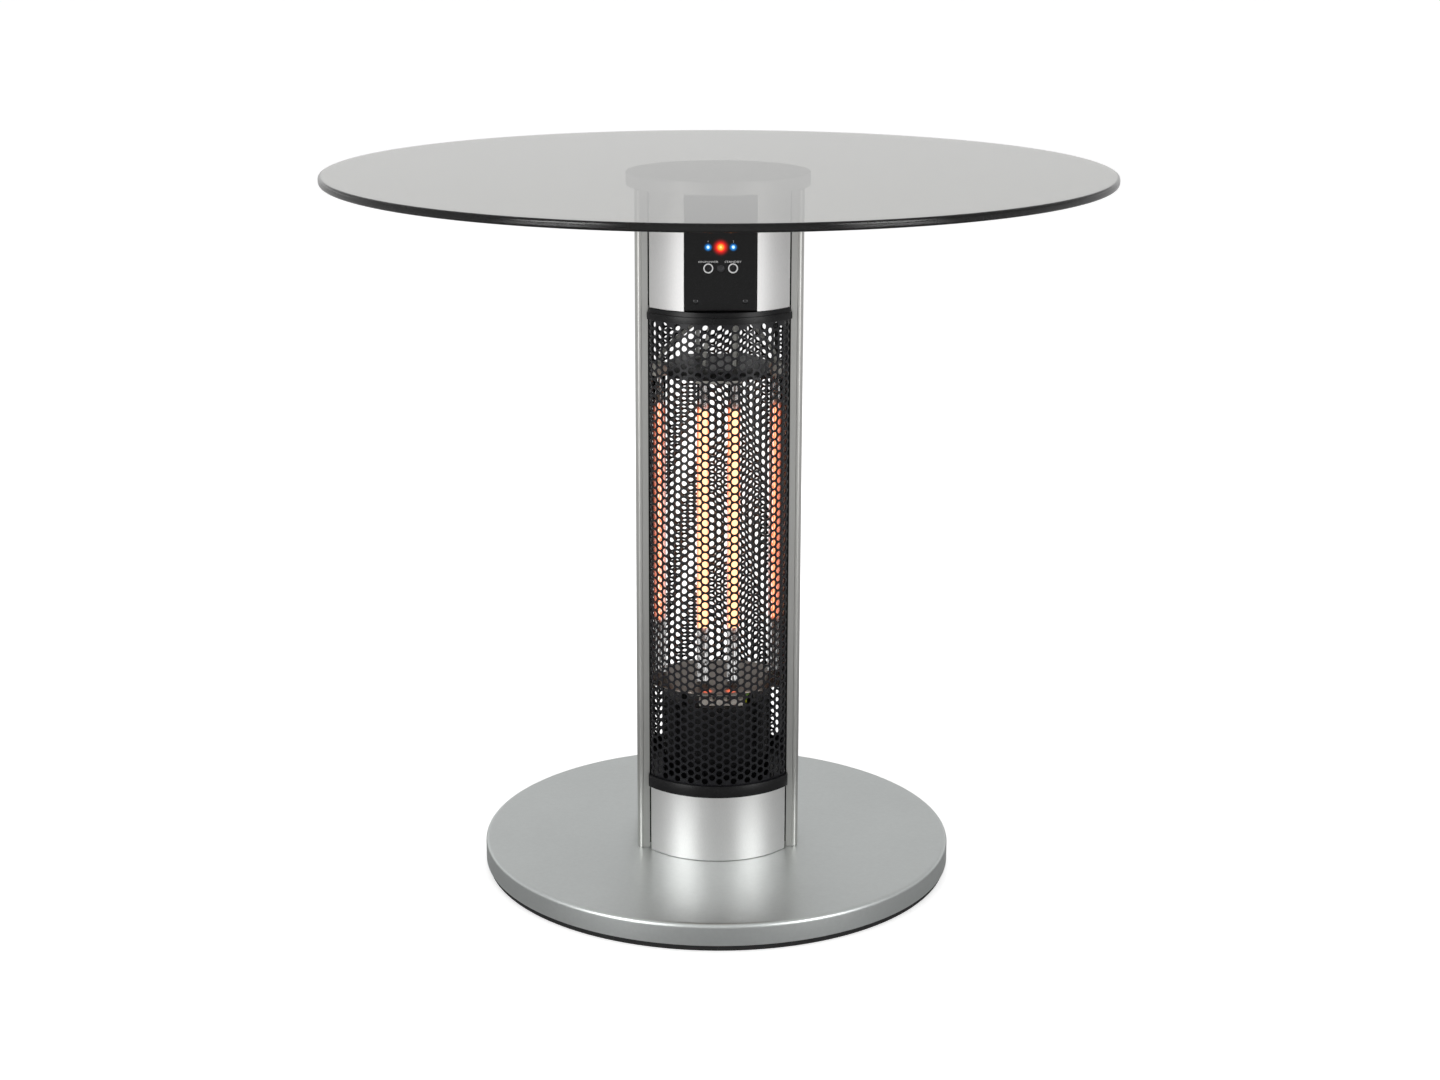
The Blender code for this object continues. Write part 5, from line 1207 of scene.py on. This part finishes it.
def build_flange():
    height = FLANGE_TOP - FLANGE_BOTTOM
    outline = [(0, 0), (FLANGE_RADIUS, 0), (FLANGE_RADIUS, height), (0, height)]
    item = turned("flange_disc", rounded_profile(outline, 0.001, 4), 160, sleeve_metal(), "satin_aluminium",
                  ("top_flange",), (0, 0, FLANGE_BOTTOM))
    places = [(sx * BOLT_X, sy * BOLT_Y) for _, sx, sy in CORNERS]
    drill(item, upright(0.0028, places, 0.71, GLASS_TOP), 32)
    drill(item, upright(0.0047, places, FLANGE_TOP - 0.0043, GLASS_TOP), 32)
    bolt = [(0, -0.0003), (0.0038, -0.0003), (0.0044, -0.0009), (0.0044, -0.004), (0.0025, -0.004),
            (0.0025, -0.0279), (0, -0.0279)]
    for (name, _, _), (x, y) in zip(CORNERS, places):
        item = turned("flange_screw_" + name, bolt, 32, zinc(), "zinc_steel", ("flange_bolt_" + name,),
                      (x, y, FLANGE_TOP))
        drill(item, upright(0.0022, [(x, y)], FLANGE_TOP - 0.0028, FLANGE_TOP + 0.002), 6)


def dress_inner_nodes():
    """Give the carried-over pieces inside the base and housing their procedural finishes."""
    iron = coat("cast_iron_skin", (0.045, 0.044, 0.042), fleck=(0.09, 0.085, 0.08), scale=350,
                rough=(0.55, 0.75), amount=0.5, bump=0.5)
    board = coat("board_mask", (0.02, 0.12, 0.05), fleck=(0.10, 0.22, 0.10), scale=600, rough=(0.3, 0.45),
                 bump=0.05)
    looks = {"ballast_plate": iron, "foot_plate": zinc(), "mains_terminal": white_plastic(),
             "tilt_switch": black_plastic(), "circuit_board": board}
    looks.update({"base_bolt_" + corner: zinc() for corner, _, _ in CORNERS})
    for name, material in looks.items():
        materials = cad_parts[name].data.materials
        materials.clear()
        materials.append(material)


# Stage


def soft_band(tree, value, centre, edge, core):
    """Mask that is one around a centre and falls off softly to an edge on both sides."""
    return remap(tree, distance(tree, value, centre), edge, core, curve="SMOOTHSTEP")


def beside_front(tree, across, along):
    """Mask of the two directions, left and right of the front, where the mirrored panels stand."""
    forward = math_node(tree, "MULTIPLY", along, -1.0)
    turn = math_node(tree, "ARCTAN2", math_node(tree, "ABSOLUTE", across), forward)
    return soft_band(tree, turn, BESIDE_FRONT, 0.34, 0.06)


def mix_shaders(tree, share, first, second):
    return node(tree, "ShaderNodeMixShader", {0: share, 1: first, 2: second}).outputs[0]


def build_floor():
    bm = bmesh.new()
    corners = [(-FLOOR_HALF, -FLOOR_HALF), (FLOOR_HALF, -FLOOR_HALF), (FLOOR_HALF, FLOOR_HALF),
               (-FLOOR_HALF, FLOOR_HALF)]
    bm.faces.new([bm.verts.new(point) for point in level(corners, 0)])
    floor = add_object("studio_floor", finish_mesh("studio_floor", bm))
    material, tree, shader = new_material("studio_floor_paint")
    feed(tree, shader, {"Base Color": (0.82, 0.82, 0.82, 1), "Roughness": 0.9, "Specular IOR Level": 0.1})
    path = node(tree, "ShaderNodeLightPath").outputs
    strength = math_node(tree, "MULTIPLY", path["Is Camera Ray"], 0.56)
    glow = node(tree, "ShaderNodeEmission", {"Strength": strength})
    painted = node(tree, "ShaderNodeAddShader", {0: shader.outputs[0], 1: glow.outputs[0]})
    place = object_place(tree)
    away = node(tree, "ShaderNodeVectorMath", {0: place}, operation="LENGTH").outputs["Value"]
    across, along, _ = parts_of(tree, place)
    far = soft_band(tree, away, 6.0, 4.8, 2.5)
    panel = math_node(tree, "MULTIPLY", beside_front(tree, across, along), far)
    shade = remap(tree, away, 0.24, 1.6, 0.22, 0.60)
    strength = math_node(tree, "MULTIPLY_ADD", panel, studio().panel_strength / 2, shade)
    mirrored = node(tree, "ShaderNodeEmission", {"Strength": strength})
    in_mirrors = mix_shaders(tree, path["Is Glossy Ray"], painted.outputs[0], mirrored.outputs[0])
    plain = node(tree, "ShaderNodeEmission")
    through = mix_shaders(tree, path["Is Transmission Ray"], in_mirrors, plain.outputs[0])
    tree.links.new(through, tree.nodes["Material Output"].inputs["Surface"])
    floor.data.materials.append(material)


def build_world():
    world = bpy.data.worlds.new("studio_world")
    bpy.context.scene.world = world
    world.use_nodes = True
    tree, stage = world.node_tree, studio()
    fill, mirrored = stage.world_strength, stage.mirror_strength
    path = node(tree, "ShaderNodeLightPath").outputs
    seen = math_node(tree, "ADD", path["Is Camera Ray"], path["Is Transmission Ray"])
    across, along, height = parts_of(tree, node(tree, "ShaderNodeTexCoord").outputs["Generated"])
    low = remap(tree, height, 0.30, 0.15, curve="SMOOTHSTEP")
    behind = remap(tree, along, 0.3, 0.7, curve="SMOOTHSTEP")
    wall = math_node(tree, "MULTIPLY", low, behind)
    wall = math_node(tree, "MULTIPLY_ADD", wall, stage.rear_strength - mirrored, mirrored - fill)
    band = soft_band(tree, height, 0.18, 0.55, 0.25)
    panel = math_node(tree, "MULTIPLY", beside_front(tree, across, along), band)
    wall = math_node(tree, "MULTIPLY_ADD", panel, stage.panel_strength, wall)
    glossy = math_node(tree, "MULTIPLY_ADD", path["Is Glossy Ray"], wall, fill)
    glossy = math_node(tree, "MULTIPLY", glossy, math_node(tree, "MULTIPLY_ADD", across, -0.12, 1.0))
    mixed = node(tree, "ShaderNodeMix", {0: math_node(tree, "MINIMUM", seen, 1.0), 2: glossy, 3: 1.0})
    feed(tree, tree.nodes["Background"], {"Color": (1, 1, 1, 1), "Strength": mixed.outputs[0]})


def add_lamp(name, place, target, size, power):
    """Soft lamp that lights the object but leaves no hard patch in the glass."""
    data = bpy.data.lights.new(name, "AREA")
    data.shape = "RECTANGLE"
    data.size, data.size_y = size
    data.energy = power
    lamp = add_object(name, data)
    lamp.location = place
    lamp.visible_glossy = False
    lamp.visible_transmission = False
    lamp.rotation_euler = (Vector(target) - Vector(place)).to_track_quat("-Z", "Y").to_euler()


def build_lamps_of_stage():
    stage, middle = studio(), (0, 0, 0.4)
    for name, x in (("left_softbox", -1.75), ("right_softbox", 1.75)):
        add_lamp(name, (x, -1.7, 1.0), middle, (0.9, 1.8), stage.key_power)
    add_lamp("top_softbox", (0, 0.2, 2.6), (0, 0, 0), (2.2, 2.2), stage.top_power)
    add_lamp("rear_softbox", (0.4, 2.4, 1.4), middle, (1.6, 1.2), stage.key_power)


def build_camera():
    data = bpy.data.cameras.new("photo_camera")
    data.sensor_width = 36
    data.lens = FOCAL_LENGTH
    data.shift_x, data.shift_y = SHIFT_X, SHIFT_Y
    data.clip_end = 200
    camera = add_object("photo_camera", data)
    camera.location = CAMERA_PLACE
    camera.rotation_euler = (math.pi / 2 - CAMERA_DIP, 0, CAMERA_TURN)
    bpy.context.scene.camera = camera


def build_stage():
    build_camera()
    build_world()
    build_lamps_of_stage()
    build_floor()
    bpy.context.scene.view_settings.view_transform = "Standard"


class TABLE_OT_glass(bpy.types.Operator):
    """Build the round smoked glass top"""
    bl_idname = "patio_table.glass"
    bl_label = "Glass top"

    def execute(self, context):
        build_glass()
        return {"FINISHED"}


class TABLE_OT_base(bpy.types.Operator):
    """Build the satin steel base and its rubber foot"""
    bl_idname = "patio_table.base"
    bl_label = "Base"

    def execute(self, context):
        build_base()
        return {"FINISHED"}


class TABLE_OT_collar(bpy.types.Operator):
    """Build the lower sleeve and the cable inlet"""
    bl_idname = "patio_table.collar"
    bl_label = "Lower sleeve"

    def execute(self, context):
        build_collar()
        build_gland()
        return {"FINISHED"}


class TABLE_OT_guard(bpy.types.Operator):
    """Build the perforated guard and the black rings that hold it"""
    bl_idname = "patio_table.guard"
    bl_label = "Guard and rings"

    def execute(self, context):
        build_rings()
        build_guard()
        return {"FINISHED"}


class TABLE_OT_posts(bpy.types.Operator):
    """Build the corner posts"""
    bl_idname = "patio_table.posts"
    bl_label = "Corner posts"

    def execute(self, context):
        build_posts()
        build_gap_shade_strips()
        return {"FINISHED"}


class TABLE_OT_heater(bpy.types.Operator):
    """Build the tubes, ribbons, plates and wires of the heater unit"""
    bl_idname = "patio_table.heater"
    bl_label = "Heater unit"

    def execute(self, context):
        build_tubes()
        build_drum()
        build_reflector()
        build_shade()
        build_terminal_strip()
        build_wires()
        return {"FINISHED"}


class TABLE_OT_panel(bpy.types.Operator):
    """Build the upper sleeve, the control panel and its controls"""
    bl_idname = "patio_table.panel"
    bl_label = "Housing and panel"

    def execute(self, context):
        build_housing()
        build_panel()
        build_lamps()
        build_buttons()
        build_words()
        build_panel_screws()
        build_flange()
        return {"FINISHED"}


class TABLE_OT_inner(bpy.types.Operator):
    """Finish the pieces hidden inside the base and housing"""
    bl_idname = "patio_table.inner"
    bl_label = "Inner pieces"

    def execute(self, context):
        dress_inner_nodes()
        return {"FINISHED"}


class TABLE_OT_stage(bpy.types.Operator):
    """Set up the floor, the lamps, the white surroundings and the camera"""
    bl_idname = "patio_table.stage"
    bl_label = "Studio"

    def execute(self, context):
        build_stage()
        return {"FINISHED"}


STEPS = ("stage", "glass", "base", "collar", "guard", "posts", "heater", "panel", "inner")


class TABLE_PT_panel(bpy.types.Panel):
    """Lists the sizes, finishes and building steps of the table"""
    bl_label = "Heated Patio Table"
    bl_idname = "TABLE_PT_panel"
    bl_space_type = "VIEW_3D"
    bl_region_type = "UI"
    bl_category = "Patio Table"

    def draw(self, context):
        column = self.layout.column()
        for settings in (context.scene.table_sizes, context.scene.table_finishes, context.scene.table_stage):
            for key in settings.__annotations__:
                column.prop(settings, key)
        for step in STEPS:
            column.operator("patio_table." + step)


CLASSES = (TableSizes, TableFinishes, StageSettings, TABLE_OT_glass, TABLE_OT_base, TABLE_OT_collar,
           TABLE_OT_guard, TABLE_OT_posts, TABLE_OT_heater, TABLE_OT_panel, TABLE_OT_inner, TABLE_OT_stage,
           TABLE_PT_panel)


def register():
    for item in CLASSES:
        bpy.utils.register_class(item)
    bpy.types.Scene.table_sizes = PointerProperty(type=TableSizes)
    bpy.types.Scene.table_finishes = PointerProperty(type=TableFinishes)
    bpy.types.Scene.table_stage = PointerProperty(type=StageSettings)


def unregister():
    del bpy.types.Scene.table_stage
    del bpy.types.Scene.table_finishes
    del bpy.types.Scene.table_sizes
    for item in reversed(CLASSES):
        bpy.utils.unregister_class(item)


def main():
    register()
    for step in STEPS:
        getattr(bpy.ops.patio_table, step)()


if __name__ == "__main__":
    main()
